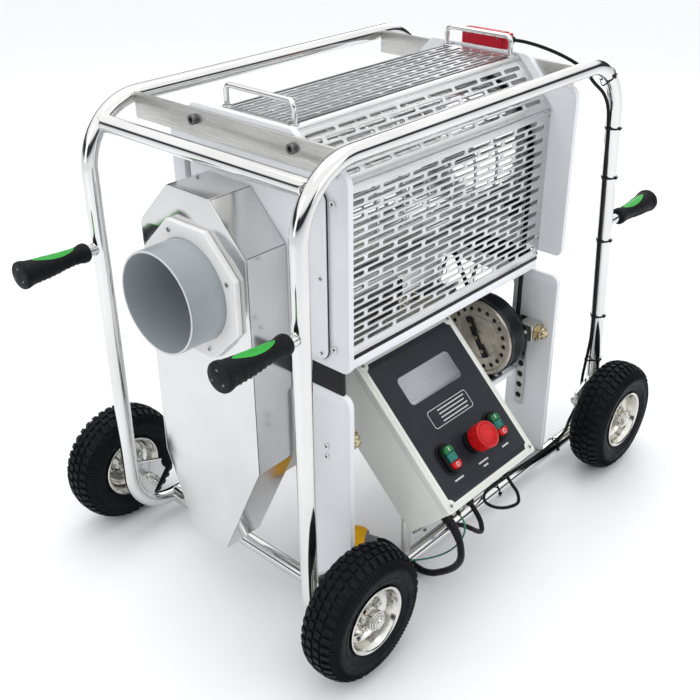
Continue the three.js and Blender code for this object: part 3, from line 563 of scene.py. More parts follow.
def socket_bolt(piece, place, width, high, look=STAINLESS):
    """A cylinder head with a hexagon socket."""
    piece.put(flat(circle(0, 0, width / 2, 28), high, [hexagon(width * 0.5)], 0.0006), look, place)
    piece.put(flat(circle(0, 0, width * 0.36, 18), high * 0.45, edge=0.0002), DARK_STEEL, place)


def pan_screw(piece, place, width, look=STAINLESS):
    """A low head with a cross recess."""
    piece.put(flat(circle(0, 0, width / 2, 24), width * 0.3, [cross_slot(width)], width * 0.09), look, place)
    piece.put(flat(circle(0, 0, width * 0.42, 18), width * 0.1, edge=0.0002), DARK_STEEL, place)


def bead(piece, points, radius):
    """A weld bead with ripples along a closed path."""
    points = [Vector(p) for p in points]
    count, rings = len(points), []
    for i, p in enumerate(points):
        tangent = (points[(i + 1) % count] - points[i - 1]).normalized()
        out = tangent.orthogonal().normalized()
        side = tangent.cross(out)
        r = radius * (1 + 0.14 * math.sin(i * 2.1))
        rings.append([p + r * (out * math.cos(t) + side * math.sin(t))
                      for t in (2 * math.pi * k / 8 for k in range(8))])
    piece.put(loft(rings, closed=True), STAINLESS)


# ---- driving places, the same as the CAD's -------------------------------------------------------
LOOP_NEAR, LOOP_Y, LOOP_TOP, LOOP_LOW = -0.487, 0.264, 0.944, 0.0485  # centre line of the bent tubes
FAR_TOP, FAR_LOW = 0.434, 0.509  # the far legs lean in towards their tops
LOOP_R, TOP_BEND, LOW_BEND, SEAM_X = 0.016, 0.12, 0.1, -0.302
FAR_LEAN = math.atan2(FAR_LOW - FAR_TOP, LOOP_TOP - LOOP_LOW)
FAR_LOW_BEND_X = FAR_LOW - LOW_BEND / math.tan((math.pi / 2 - FAR_LEAN) / 2)
FAR_TOP_BEND_X = FAR_TOP - TOP_BEND / math.tan((math.pi / 2 + FAR_LEAN) / 2)
ENDS = (("near", -1), ("far", 1))
SIDES = (("front", -1), ("rear", 1))
STAND_FRONT, STAND_REAR, POST_WIDTH, POST_TOP = -0.268, 0.16, 0.11, 0.511
DRUM_Y, DRUM_Z, DRUM_R, RING_R = -0.03, 0.76, 0.14, 0.15
REEL_Z, SHAFT_R = 0.578, 0.009
ROLLER_SWING = math.radians(50)
MOTOR_PULLEY_R, REEL_PULLEY_R = 0.045, 0.028
DRUM_PULLEY_X, REEL_PULLEY_X = (0.262, 0.276), (0.298, 0.312)
SLOT_LENGTH, SLOT_WIDTH, SLOT_PITCH_X, SLOT_PITCH_Z = 0.07, 0.0084, 0.079, 0.0131


def leg_x(end, z):
    """Where a leg's centre line is at a height."""
    return LOOP_NEAR if end < 0 else FAR_LOW + (FAR_TOP - FAR_LOW) * (z - LOOP_LOW) / (LOOP_TOP - LOOP_LOW)


# ---- tube frame ----------------------------------------------------------------------------------
def axle_hardware(piece, x, side):
    """The tab in a bottom bend, and the axle bolt with its spacer, washer and nut."""
    end = math.copysign(1, x)
    bend_x, bend_z = LOOP_NEAR + LOW_BEND if end < 0 else FAR_LOW_BEND_X, LOOP_LOW + LOW_BEND
    y, axle_z = side * LOOP_Y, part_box("rim_near_front")[0].z + 0.066
    tab = []
    for radius, angles in ((LOW_BEND - 0.004, range(160, 233, 6)), (0.024, range(232, 159, -12))):
        for a in (math.radians(v) for v in angles):
            tab.append((bend_z + radius * math.sin(a), bend_x - end * radius * math.cos(a)))
    piece.put(flat(tab, 0.008, edge=0.0012), STAINLESS, at(0, y - 0.004, 0, "y"))
    way = "y" if side > 0 else "-y"
    hub_in, hub_out = LOOP_Y + 0.0507, LOOP_Y + 0.1273
    spacer = [(0.0105, LOOP_Y + 0.004), (0.014, LOOP_Y + 0.004, 0.0008), (0.014, hub_in, 0.0008),
              (0.0105, hub_in)]
    piece.put(lathe(spacer, 28), ZINC, at(x, 0, axle_z, way))
    bolt = [(TIP, LOOP_Y - 0.012), (0.0098, LOOP_Y - 0.012, 0.001), (0.0098, hub_out + 0.001)]
    for k in range(5):
        along = hub_out + 0.0018 + 0.0011 * k
        bolt += [(0.009, along), (0.0098, along + 0.0005)]
    bolt += [(0.0085, hub_out + 0.0078), (TIP, hub_out + 0.0078)]
    piece.put(lathe(bolt, 28), ZINC, at(x, 0, axle_z, way))
    piece.put(lathe([(0.0099, 0), (0.0165, 0, 0.0004), (0.0165, 0.0015, 0.0004), (0.0099, 0.0015)], 30),
              ZINC, at(x, side * hub_out, axle_z, way))
    piece.put(flat(hexagon(0.0255), 0.0048, [circle(0, 0, 0.0097, 24)], 0.0009), ZINC,
              at(x, side * (hub_out + 0.0015), axle_z, way))


def frame_loop(name, side, node):
    """One bent tube with its butt seam, its grip stubs and its axles."""
    y = side * LOOP_Y
    corners = [(SEAM_X - GAP, LOOP_LOW), (LOOP_NEAR, LOOP_LOW), (LOOP_NEAR, LOOP_TOP), (FAR_TOP, LOOP_TOP),
               (FAR_LOW, LOOP_LOW), (SEAM_X, LOOP_LOW)]
    path = bent([(x, y, z) for x, z in corners], [LOW_BEND, TOP_BEND, TOP_BEND, LOW_BEND], 18)
    piece = Piece(name).put(tube(path, LOOP_R, 32), STAINLESS)
    for end_name, end in ENDS:
        lo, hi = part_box(f"grip_{end_name}_{'front' if side < 0 else 'rear'}")
        z = (lo.z + hi.z) / 2
        leg = leg_x(end, z)
        reach = min(abs(lo.x), abs(hi.x)) - abs(leg) + 0.1
        stub = [(TIP, 0), (0.011, 0), (0.011, reach, 0.001), (TIP, reach)]
        piece.put(lathe(stub, 28), STAINLESS, at(leg, y, z, "x" if end > 0 else "-x"))
        ring = []
        for k in range(40):
            t = 2 * math.pi * k / 40
            across = 0.011 * math.cos(t)
            skin = math.sqrt(LOOP_R ** 2 - across ** 2) + 0.0006
            height = z + 0.011 * math.sin(t)
            ring.append((leg_x(end, height) + end * skin, y + across, height))
        bead(piece, ring, 0.0016)
    for x in (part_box("rim_near_front"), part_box("rim_far_front")):
        axle_hardware(piece, (x[0].x + x[1].x) / 2, side)
    if side < 0:
        for x in (-0.225, -0.015):
            piece.put(brick((x, -0.267, LOOP_LOW + 0.01), (x + 0.025, -0.262, 0.2025), 0.001), BRUSHED_Y)
            hex_bolt(piece, at(x + 0.0125, -0.267, 0.184, "-y"), 0.01, 0.004)
    piece.make("frame", node, slot="stainless")


def cross_tube(name, x, z, node):
    """A tube across the machine, coped to fit round both loops, with weld beads."""
    rings, half = [], LOOP_Y
    for side in (-1, 1):
        ring = []
        for k in range(32):
            t = 2 * math.pi * k / 32
            reach = half - math.sqrt(max(LOOP_R ** 2 - (LOOP_R * math.sin(t)) ** 2, 1e-8)) + 0.0004
            ring.append(Vector((x + LOOP_R * math.cos(t), side * reach, z + LOOP_R * math.sin(t))))
        rings.append(ring)
    piece = Piece(name).put(loft(rings), STAINLESS)
    for ring in rings:
        bead(piece, ring, 0.0013)
    piece.make("frame", node, slot="stainless")


for side_name, side in SIDES:
    frame_loop(f"{side_name}_loop", side, f"{side_name}_frame_loop")
for tube_name in ("near_top_cross", "near_bottom_cross", "far_bottom_cross"):
    lo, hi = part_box(f"{tube_name}_tube")
    cross_tube(tube_name, (lo.x + hi.x) / 2, (lo.z + hi.z) / 2, f"{tube_name}_tube")


def cross_plates():
    for end_name, end in ENDS:
        lo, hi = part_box(f"{end_name}_cross_plate")
        piece = Piece(f"{end_name}_crossbar")
        piece.put(brick((lo.x, lo.y + 0.0006, lo.z), (hi.x, hi.y - 0.0006, hi.z), 0.0012, 3), BRUSHED_Y)
        outer = lo.x if end < 0 else hi.x
        for y in (0.081, -0.158):
            socket_bolt(piece, at(outer, y, 0.935, "-x" if end < 0 else "x"), 0.018, 0.009, DARK_STEEL)
        piece.make("frame", f"{end_name}_cross_plate", slot="brushed")


cross_plates()


# ---- wheels --------------------------------------------------------------------------------------
TYRE_HALF = [(0.1258, 0.0), (0.1252, 0.01), (0.1225, 0.021), (0.1163, 0.0325), (0.107, 0.04),
             (0.096, 0.0424), (0.085, 0.041), (0.075, 0.0375), (0.066, 0.0325)]
TREAD_COUNT, RIB_COUNT, AXLE_Z = 42, 96, 0.13


def tyre_mesh():
    """Carcass, two rows of blocks on each side of a centre groove, and shoulder ribs, about local z."""
    fine = smooth([(r, a, 0) for r, a in TYRE_HALF], 60)
    lengths = [0.0]
    for p, q in zip(fine, fine[1:]):
        lengths.append(lengths[-1] + (q - p).length)

    def surface(side, s, height, turn):
        """The point at arc length s from the crown, lifted off the carcass, turned round the axle."""
        i = next((k for k in range(len(lengths) - 2) if lengths[k + 1] >= s), len(lengths) - 2)
        part = (s - lengths[i]) / (lengths[i + 1] - lengths[i])
        spot, way = fine[i].lerp(fine[i + 1], part), (fine[i + 1] - fine[i]).normalized()
        radius, along = spot.x + way.y * height, (spot.y - way.x * height) * side
        return Vector((radius * math.cos(turn), radius * math.sin(turn), along))

    def block(side, s0, s1, turn, width, height, skew=0.0):
        """A chamfered block; width is an angle, and skew turns its outer end onwards."""
        rings = []
        for lift, inset in ((-0.0006, 0.0), (height - 0.0009, 0.0003), (height, 0.0011)):
            ring = []
            sweep = [s0 + inset + (s1 - s0 - 2 * inset) * k / 4 for k in range(5)]
            half = width / 2 - inset / 0.127
            for s in sweep:
                ring.append(surface(side, s, lift, turn - half + skew * (s - s0)))
            for s in reversed(sweep):
                ring.append(surface(side, s, lift, turn + half + skew * (s - s0)))
            rings.append(ring)
        return loft(rings)

    shells = []
    outer = [(p.x, p.y) for p in fine]
    inner = [(0.06, 0.027), (0.06, 0.0), (0.06, -0.027)]
    profile = [(r, -a) for r, a in reversed(outer)][:-1] + outer + inner
    shells.append(lathe(profile, 96))
    step = 2 * math.pi / TREAD_COUNT
    for side in (-1, 1):
        for k in range(TREAD_COUNT):
            turn = step * (k + (0.5 if side > 0 else 0))
            shells.append(block(side, 0.002, 0.0142, turn, step * 0.7, 0.0042, side * 1.2))
            shells.append(block(side, 0.0172, 0.033, turn + step * 0.25, step * 0.6, 0.0045, side * 1.0))
        for k in range(RIB_COUNT):
            turn = 2 * math.pi * k / RIB_COUNT
            shells.append(block(side, 0.0335, 0.052, turn, 2 * math.pi / RIB_COUNT * 0.5, 0.0017, 0.6))
        for s, r in ((0.0545, 0.0009), (0.069, 0.0007)):
            ring = [surface(side, s, 0.0002, 2 * math.pi * k / 96) for k in range(96)]
            rings = [[p + Vector((p.x, p.y, 0)).normalized() * r * math.cos(t)
                      + Vector((0, 0, r * math.sin(t)))
                      for t in (2 * math.pi * j / 6 for j in range(6))] for p in ring]
            shells.append(loft(rings, closed=True))
    return shells


def rim_piece(piece, place):
    """A split zinc rim: rolled flanges, dished disc, ribbed hub tube, bearings, bolts and valve."""
    barrel = [(0.0195, 0.002), (0.03, 0.002, 0.003), (0.05, 0.003, 0.006), (0.0575, 0.012, 0.006),
              (0.0597, 0.028, 0.004), (0.0635, 0.0335, 0.002), (0.0665, 0.0352, 0.0012),
              (0.0678, 0.0378, 0.0012),
              (0.0652, 0.0394, 0.0012), (0.061, 0.0366, 0.003), (0.0572, 0.027, 0.004),
              (0.0548, 0.013, 0.005),
              (0.048, 0.0056, 0.005), (0.03, 0.0044, 0.003), (0.0195, 0.0044)]
    flipped = [(p[0], -p[1], *p[2:]) for p in reversed(barrel)]
    piece.put(lathe(barrel, 72), ZINC, place)
    piece.put(lathe(flipped, 72), ZINC, place)
    piece.put(lathe([(0.0574, -0.0125), (0.06, -0.0125), (0.06, 0.0125), (0.0574, 0.0125)], 64), ZINC, place)
    hub = [(0.0172, -0.038), (0.02, -0.038, 0.0008), (0.02, 0.038, 0.0008), (0.0172, 0.038)]
    piece.put(lathe(hub, 40), ZINC, place)
    for k in range(4):
        turn = place @ spin(math.pi / 4 + k * math.pi / 2)
        for z0, z1 in ((0.0042, 0.027), (-0.027, -0.0042)):
            piece.put(brick((0.0185, -0.0011, z0), (0.0255, 0.0011, z1), 0.0007), ZINC, turn)
    for side in (-1, 1):
        face = place @ (Matrix.Identity(4) if side > 0 else Matrix.Rotation(math.pi, 4, "X"))
        piece.put(lathe([(0.014, 0.03), (0.0171, 0.03), (0.0171, 0.0372, 0.0006), (0.014, 0.0372, 0.0004)],
                        36),
                  GROUND_STEEL, face)
        piece.put(lathe([(0.012, 0.03), (0.0139, 0.03), (0.0139, 0.0362), (0.012, 0.0362)], 32), BLACK, face)
        piece.put(lathe([(0.0103, 0.03), (0.0119, 0.03), (0.0119, 0.0376, 0.0004), (0.0103, 0.0376, 0.0004)],
                        32),
                  GROUND_STEEL, face)
        for k in range(4):
            turn = face @ spin(k * math.pi / 2)
            hex_bolt(piece, turn @ move(0.0375, 0, 0.005), 0.012, 0.0055)
            if side > 0:
                piece.put(rod(0.0029, 0, 0.0048, 0.0005, 0.0008, 14),
                          ZINC, turn @ move(0.0375, 0, 0.0108))
    valve = place @ spin(0.62)
    piece.put(tube([(0.05, 0, 0.02), (0.044, 0, 0.0245), (0.04, 0, 0.031)], [0.0042, 0.0038, 0.0034], 14),
              BLACK, valve)
    piece.put(tube([(0.04, 0, 0.031), (0.0376, 0, 0.035)], [0.0028, 0.0028], 12), BRASS, valve)


def wheels():
    shells = tyre_mesh()
    for end_name, _ in ENDS:
        for side_name, side in SIDES:
            corner = f"{end_name}_{side_name}"
            lo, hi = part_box(f"tyre_{corner}")
            x, y = (lo.x + hi.x) / 2, (lo.y + hi.y) / 2
            place = at(x, y, AXLE_Z, "y" if side > 0 else "-y")
            piece = Piece(f"tyre_{corner}_tread")
            for shell in shells:
                piece.put(shell, TYRE, place)
            piece.make(f"wheel_{corner}", f"tyre_{corner}", slot="tyre")
            piece = Piece(f"rim_{corner}_plated")
            rim_piece(piece, place)
            piece.make(f"wheel_{corner}", f"rim_{corner}", slot="zinc")


wheels()


# ---- hand grips ----------------------------------------------------------------------------------
GRIP_STATIONS = [(0.0165, 0.0), (0.0178, 0.0025), (0.018, 0.012), (0.0163, 0.02), (0.0158, 0.032),
                 (0.0168, 0.05), (0.019, 0.072), (0.0208, 0.092), (0.0218, 0.108), (0.0232, 0.122),
                 (0.0256, 0.131), (0.0262, 0.135), (0.0256, 0.1395), (0.0225, 0.1424), (0.012, 0.143)]


def grip_radius(along, turn):
    """The grip's radius at a distance from its root, with a palm swell below and a flat crown."""
    for (r0, a0), (r1, a1) in zip(GRIP_STATIONS, GRIP_STATIONS[1:]):
        if along <= a1:
            part = (along - a0) / (a1 - a0)
            part = part * part * (3 - 2 * part) if a1 - a0 > 0.008 else part
            radius = r0 + (r1 - r0) * part
            break
    swell = math.exp(-((along - 0.078) / 0.026) ** 2)
    return radius * (1 + 0.05 * swell * math.cos(turn - math.pi) - 0.015 * math.cos(2 * turn))


def grip(corner, end, side):
    """A waisted rubber sleeve with a leaf-shaped inlay on top, a flared end and a collar."""
    lo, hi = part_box(f"grip_{corner}")
    y, z = (lo.y + hi.y) / 2, (lo.z + hi.z) / 2
    root = min(abs(lo.x), abs(hi.x))
    place = at(end * root, y, z, "x" if end > 0 else "-x")
    up = math.pi / 2  # the angle of +Z about the grip's own axis

    def skin(along, turn, lift=0.0):
        radius = grip_radius(along, turn - up) + lift
        return Vector((radius * math.cos(turn), radius * math.sin(turn), along))

    piece = Piece(f"handgrip_{corner}")
    marks = [0.143 * k / 72 for k in range(73)]
    rings = [[skin(a, 2 * math.pi * k / 48) for k in range(48)] for a in marks]
    piece.put(loft(rings), GRIP, place)
    for a in (0.0045, 0.008, 0.0115):
        ring = [(0.0179, a - 0.001), (0.0186, a - 0.0004, 0.0003), (0.0186, a + 0.0004, 0.0003),
                (0.0179, a + 0.001)]
        piece.put(lathe([(0.015, a - 0.001), *ring, (0.015, a + 0.001)], 40), BLACK, place)
    for k in range(9):
        a = 0.024 + 0.0105 * k
        for way in (-1, 1):
            strip = []
            for j in range(9):
                turn = up + math.pi + way * (0.25 + 0.9 * j / 8)
                strip.append(skin(a + 0.006 * j / 8, turn, 0.0002))
            piece.put(tube(strip, [0.0004 + 0.0009 * math.sin(math.pi * j / 8) for j in range(9)], 8), GRIP,
                      place)
    inlay = []
    for lift in (-0.001, 0.0007):
        rows = []
        for j in range(25):
            part = j / 24
            along = 0.026 + 0.086 * part
            half = 0.06 + 0.62 * math.sin(math.pi * part ** 0.82) ** 0.8
            rows.append([skin(along, up + half * (2 * k / 12 - 1),
                              lift * (1 - abs(2 * k / 12 - 1) ** 6 * (lift > 0)))
                         for k in range(13)])
        inlay.append(rows)
    low, high = inlay
    piece.put(loft([[*a, *reversed(b)] for a, b in zip(low, high)]), GREEN_INLAY, place)
    for k in range(3):
        turn = 2 * math.pi * k / 3 + up
        piece.put(rod(0.0026, 0, 0.0006, 0.0004, 0.0002, 16), DARK_STEEL,
                  place @ move(0.0135 * math.cos(turn), 0.0135 * math.sin(turn), 0.1423))
    piece.make("frame", f"grip_{corner}", slot="rubber")


for end_name, end in ENDS:
    for side_name, side in SIDES:
        grip(f"{end_name}_{side_name}", end, side)


# ---- end plates and stands -----------------------------------------------------------------------
def end_plates():
    for end_name, end in ENDS:
        lo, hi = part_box(f"{end_name}_end_plate")
        shoulder, top = 0.917, hi.z
        shape = rounded([(lo.y, lo.z, 0.015), (hi.y, lo.z, 0.015), (hi.y, shoulder, 0.02),
                         (0.135, shoulder, 0.03),
                         (0.095, top, 0.02), (-0.148, top, 0.02), (-0.19, shoulder, 0.03),
                         (lo.y, shoulder, 0.025)])
        reach = RING_R + 0.02 + GAP
        holes = [circle(DRUM_Y, REEL_Z, 0.01)]
        for way in (-1, 1):
            holes.append(circle(DRUM_Y + way * reach * math.sin(ROLLER_SWING),
                                DRUM_Z - reach * math.cos(ROLLER_SWING), 0.009, 24))
        if end < 0:
            holes.append(box_outline(0.112, 0.128, 0.815, 0.865, 0.004))
        else:
            holes.append(circle(DRUM_Y, DRUM_Z, 0.105, 72))
        piece = Piece(f"{end_name}_plate").put(flat(shape, hi.x - lo.x, holes, 0.0016, 3), WHITE,
                                               at(lo.x, 0, 0, "x"))
        outer, way = (lo.x, "-x") if end < 0 else (hi.x, "x")
        for y, z in ((-0.236, 0.6), (-0.236, 0.86), (0.135, 0.6), (0.135, 0.86)):
            socket_bolt(piece, at(outer, y, z, way), 0.011, 0.0045)
        piece.make("frame", f"{end_name}_end_plate", slot="white")


def stands():
    """Two posts and the dark bar across their heads, at each end."""
    for end_name, end in ENDS:
        lo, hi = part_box(f"{end_name}_stand")
        foot, bar_low = lo.z, 0.501
        posts = rounded([(STAND_FRONT, foot, 0.004), (STAND_FRONT + POST_WIDTH, foot, 0.004),
                         (STAND_FRONT + POST_WIDTH, 0.48, 0.02), (STAND_REAR - POST_WIDTH, 0.48, 0.02),
                         (STAND_REAR - POST_WIDTH, foot, 0.004), (STAND_REAR, foot, 0.004),
                         (STAND_REAR, POST_TOP, 0.02), (STAND_FRONT, POST_TOP, 0.02)])
        piece = Piece(f"{end_name}_posts").put(flat(posts, hi.x - lo.x, edge=0.0016, steps=3), WHITE,
                                               at(lo.x, 0, 0, "x"))
        bar_front = STAND_FRONT + (0.018 if end < 0 else 0.08)
        piece.put(brick((lo.x + 0.002, bar_front, bar_low), (hi.x - 0.002, STAND_REAR - 0.018, hi.z), 0.001),
                  BLACK)
        outer, way = (lo.x, "-x") if end < 0 else (hi.x, "x")
        spots = ((-0.212, 0.392), (-0.212, 0.37)) if end < 0 else ((-0.212, 0.372),)
        for y, z in (*spots, (-0.213, 0.085), (0.105, 0.085), (0.105, 0.38)):
            socket_bolt(piece, at(outer, y, z, way), 0.0115, 0.0035)
        for y in (-0.213, 0.105):  # feet clamped to the bottom tube
            inner = hi.x if end < 0 else lo.x - 0.028
            piece.put(brick((inner, y - 0.022, foot), (inner + 0.028, y + 0.022, foot + 0.006), 0.001), ZINC)
            hex_bolt(piece, at(inner + 0.014, y, foot + 0.006), 0.01, 0.005)
        piece.make("frame", f"{end_name}_stand", slot="white")


def support_blocks():
    """Zinc blocks on the front posts, each with a jack bolt; the far one has a drilled strip."""
    lo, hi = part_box("near_support_block")
    near = Piece("near_support").put(brick(lo, hi, 0.0015, 3), ZINC)
    x, z = (lo.x + hi.x) / 2, (lo.z + hi.z) / 2
    jack_bolt(near, x, lo.y, z)
    near.make("frame", "near_support_block", slot="zinc")
    lo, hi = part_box("far_support_block")
    strip_x, strip_y0, strip_y1, head_z = hi.x - 0.0037, -0.206, -0.185, 0.36
    far = Piece("far_support").put(brick((lo.x, lo.y, head_z), (hi.x, -0.203, hi.z), 0.0015, 3), ZINC)
    holes = [circle((strip_y0 + strip_y1) / 2, lo.z + 0.022 + 0.028 * k, 0.0072, 28) for k in range(6)]
    strip = box_outline(strip_y0 - 0.002, strip_y1, lo.z, hi.z - 0.001, 0.002)
    far.put(flat(strip, hi.x - strip_x - 0.001, holes, 0.0005), GROUND_STEEL, at(strip_x, 0, 0, "x"))
    far.put(brick((hi.x - 0.0009, strip_y0 + 0.001, lo.z + 0.002), (hi.x, strip_y1 - 0.001, head_z), 0.0002,
                  1), BLACK)
    jack_bolt(far, (lo.x + hi.x) / 2, lo.y, (head_z + hi.z) / 2)
    socket_bolt(far, at(lo.x, -0.221, (head_z + hi.z) / 2, "-x"), 0.008, 0.003)
    far.make("frame", "far_support_block", slot="zinc")


def jack_bolt(piece, x, y, z):
    """A brass bush, a washer and a hexagon head that face -Y."""
    front = at(x, y, z, "-y")
    piece.put(rod(0.0165, 0, 0.004, 0.0006, 0.001, 40), BRASS, front)
    hex_bolt(piece, front @ move(0, 0, 0.004), 0.026, 0.0105, BRASS)
    thread = [(TIP, 0.014)]
    for k in range(7):
        thread += [(0.0064, 0.015 + 0.0013 * k), (0.0071, 0.0156 + 0.0013 * k)]
    thread += [(TIP, 0.0245)]
    piece.put(lathe(thread, 18), BRASS, front)


end_plates()
stands()
support_blocks()


# ---- guards and lid ------------------------------------------------------------------------------
PANEL_X0, PANEL_X1 = -0.3677, 0.2797
GUARD_FRONT, GUARD_REAR, GUARD_LOW, GUARD_HIGH, SHEET = -0.212, 0.148, 0.545, 0.866, 0.0025
LID_EDGE_FRONT, LID_EDGE_REAR, LID_TOP, LID_LOW, LID_SHEET = -0.128, 0.045, 0.957, 0.868, 0.003


def slots(x0, x1, y0, y1, margin):
    """Rows of staggered slots that leave a plain margin at the ends."""
    rows = int((y1 - y0) / SLOT_PITCH_Z)
    found = []
    for row in range(rows):
        b = (y0 + y1) / 2 + (row - (rows - 1) / 2) * SLOT_PITCH_Z
        columns = int((x1 - x0) / SLOT_PITCH_X) + 2
        for k in range(-1, columns):
            a = x0 + margin + SLOT_LENGTH / 2 + (k + (0.5 if row % 2 else 0.0)) * SLOT_PITCH_X
            low, high = max(a - SLOT_LENGTH / 2, x0 + margin), min(a + SLOT_LENGTH / 2, x1 - margin)
            if high - low > 0.02:
                found.append(oblong((low + high) / 2, b, high - low, SLOT_WIDTH, 4))
    return found


def guard(name, y, inwards, node):
    """A slotted panel with folded lips, end screws, and a rail under its lower edge."""
    piece = Piece(name)
    place = move(0, y + inwards * SHEET if inwards > 0 else y, 0) @ Matrix.Rotation(math.pi / 2, 4, "X")
    low, high = GUARD_LOW + 0.004, GUARD_HIGH - 0.004
    holes = slots(PANEL_X0, PANEL_X1, low + 0.014, high - 0.01, 0.018)
    piece.put(flat(box_outline(PANEL_X0, PANEL_X1, low, high), SHEET, holes, 0.0005), BRUSHED_X, place)
    for z, turn in ((GUARD_LOW, 1), (GUARD_HIGH, -1)):
        lip = rounded([(y, z + turn * 0.006), (y, z, 0.003), (y + inwards * 0.012, z),
                       (y + inwards * 0.012, z + turn * SHEET),
                       (y + inwards * SHEET, z + turn * SHEET, 0.0006),
                       (y + inwards * SHEET, z + turn * 0.006)])
        piece.put(flat(lip, PANEL_X1 - PANEL_X0, edge=0.0003), BRUSHED_X, at(PANEL_X0, 0, 0, "x"))
    way = "-y" if inwards > 0 else "y"
    for x in (PANEL_X0 + 0.009, PANEL_X1 - 0.009):
        for z in (GUARD_LOW + 0.011, GUARD_LOW + 0.047, GUARD_HIGH - 0.012):
            pan_screw(piece, at(x, y, z, way), 0.009)
    lo_y, hi_y = sorted((y + inwards * 0.001, y + inwards * 0.016))
    piece.put(brick((PANEL_X0, lo_y, GUARD_LOW - 0.026), (PANEL_X1, hi_y, GUARD_LOW - 0.0075), 0.001), WHITE)
    lo_y, hi_y = sorted((y + inwards * 0.0005, y + inwards * 0.014))
    piece.put(brick((PANEL_X0 + 0.0005, lo_y, GUARD_LOW - 0.0072),
                    (PANEL_X1 - 0.0005, hi_y, GUARD_LOW - 0.0004),
                    0.0008), BLACK)
    piece.make("frame", node, slot="brushed")


def lid():
    """The slotted cover over the drum: a flat top, two sloping facets and two wire handles."""
    piece = Piece("lid_cover")
    x0, x1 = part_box("lid")[0].x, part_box("lid")[1].x
    front, rear = GUARD_FRONT - 0.002, GUARD_REAR + 0.004
    bend = 0.006
    top = box_outline(x0, x1, LID_EDGE_FRONT + bend, LID_EDGE_REAR - bend)
    rows = slots(x0, x1, LID_EDGE_FRONT + 0.012, LID_EDGE_REAR - 0.01, 0.02)
    piece.put(flat(top, LID_SHEET, rows, 0.0006), BRUSHED_X, move(0, 0, LID_TOP - LID_SHEET))
    for edge, foot, way in ((LID_EDGE_FRONT, front, 1), (LID_EDGE_REAR, rear, -1)):
        rise = LID_TOP - LID_LOW
        angle, length = math.atan2(rise, abs(edge - foot)), math.hypot(rise, edge - foot)
        place = move(0, foot, LID_LOW) @ Matrix.Rotation(way * angle, 4, "X")
        b0, b1 = sorted((way * 0.004, way * (length - bend)))
        shape = box_outline(x0, x1, b0, b1)
        s0, s1 = sorted((way * 0.012, way * (length - 0.016)))
        piece.put(flat(shape, LID_SHEET, slots(x0, x1, s0, s1, 0.02), 0.0006), BRUSHED_X,
                  place @ move(0, 0, -LID_SHEET))
        cos, sin = math.cos(angle), math.sin(angle)
        corner = [(edge - way * cos * 0.012, LID_TOP - sin * 0.012), (edge, LID_TOP, 0.008),
                  (edge + way * 0.012, LID_TOP), (edge + way * 0.012, LID_TOP - LID_SHEET + 0.0002),
                  (edge + way * 0.001, LID_TOP - LID_SHEET + 0.0002, 0.005),
                  (edge - way * cos * 0.012 + way * sin * LID_SHEET * 0.9,
                   LID_TOP - sin * 0.012 - cos * LID_SHEET * 0.9)]
        piece.put(flat(rounded(corner), x1 - x0, edge=0.0004), BRUSHED_X, at(x0, 0, 0, "x"))
        hem = [(foot, LID_LOW), (foot + way * 0.0035, LID_LOW), (foot + way * 0.0085, LID_LOW + 0.0055),
               (foot + way * 0.006, LID_LOW + 0.006)]
        piece.put(flat(rounded(hem), x1 - x0, edge=0.0003), BRUSHED_X, at(x0, 0, 0, "x"))
    for x, y0, y1 in ((-0.347, -0.122, 0.04), (0.263, -0.118, 0.04)):
        foot = LID_TOP - 0.001
        path = bent([(x, y0, foot), (x, y0, 0.994), (x, y1, 0.994), (x, y1, foot)], 0.012, 10)
        piece.put(tube(path, 0.005, 20), STAINLESS)
        for y in (y0, y1):
            piece.put(lathe([(0.0048, 0), (0.0085, 0, 0.0004), (0.008, 0.0016, 0.0006), (0.0048, 0.0016)],
                            28),
                      STAINLESS, at(x, y, LID_TOP - 0.0002))
    piece.make("lid", "lid", slot="brushed")


guard("front_guard_panel", GUARD_FRONT, 1, "front_guard")
guard("rear_guard_panel", GUARD_REAR, -1, "rear_guard")
lid()


# ---- vacuum duct ---------------------------------------------------------------------------------
PIPE_Z, PIPE_R, FLANGE_APOTHEM = 0.676, 0.093, 0.118


def duct_outline(inset=0.0, radius=0.003):
    """The duct's section in (y, z), tapered to a narrow foot."""
    return rounded([(-0.025 + inset * 0.3, 0.11 + inset, radius), (0.07 - inset * 0.3, 0.11 + inset, radius),
                    (0.136 - inset, 0.28, 0.01), (0.136 - inset, 0.767 - inset * 0.4, radius),
                    (0.055 - inset * 0.4, 0.85 - inset, radius), (-0.055 + inset * 0.4, 0.85 - inset, radius),
                    (-0.136 + inset, 0.767 - inset * 0.4, radius), (-0.136 + inset, 0.345, 0.01)], 4)


def ring_wall(outer, inner, thick):
    """A tube of any section: two outlines of equal count joined at both ends."""
    rings = [[Vector((p.x, p.y, z)) for p in shape]
             for shape, z in ((outer, 0), (outer, thick), (inner, thick), (inner, 0))]
    return loft(rings, closed=True)


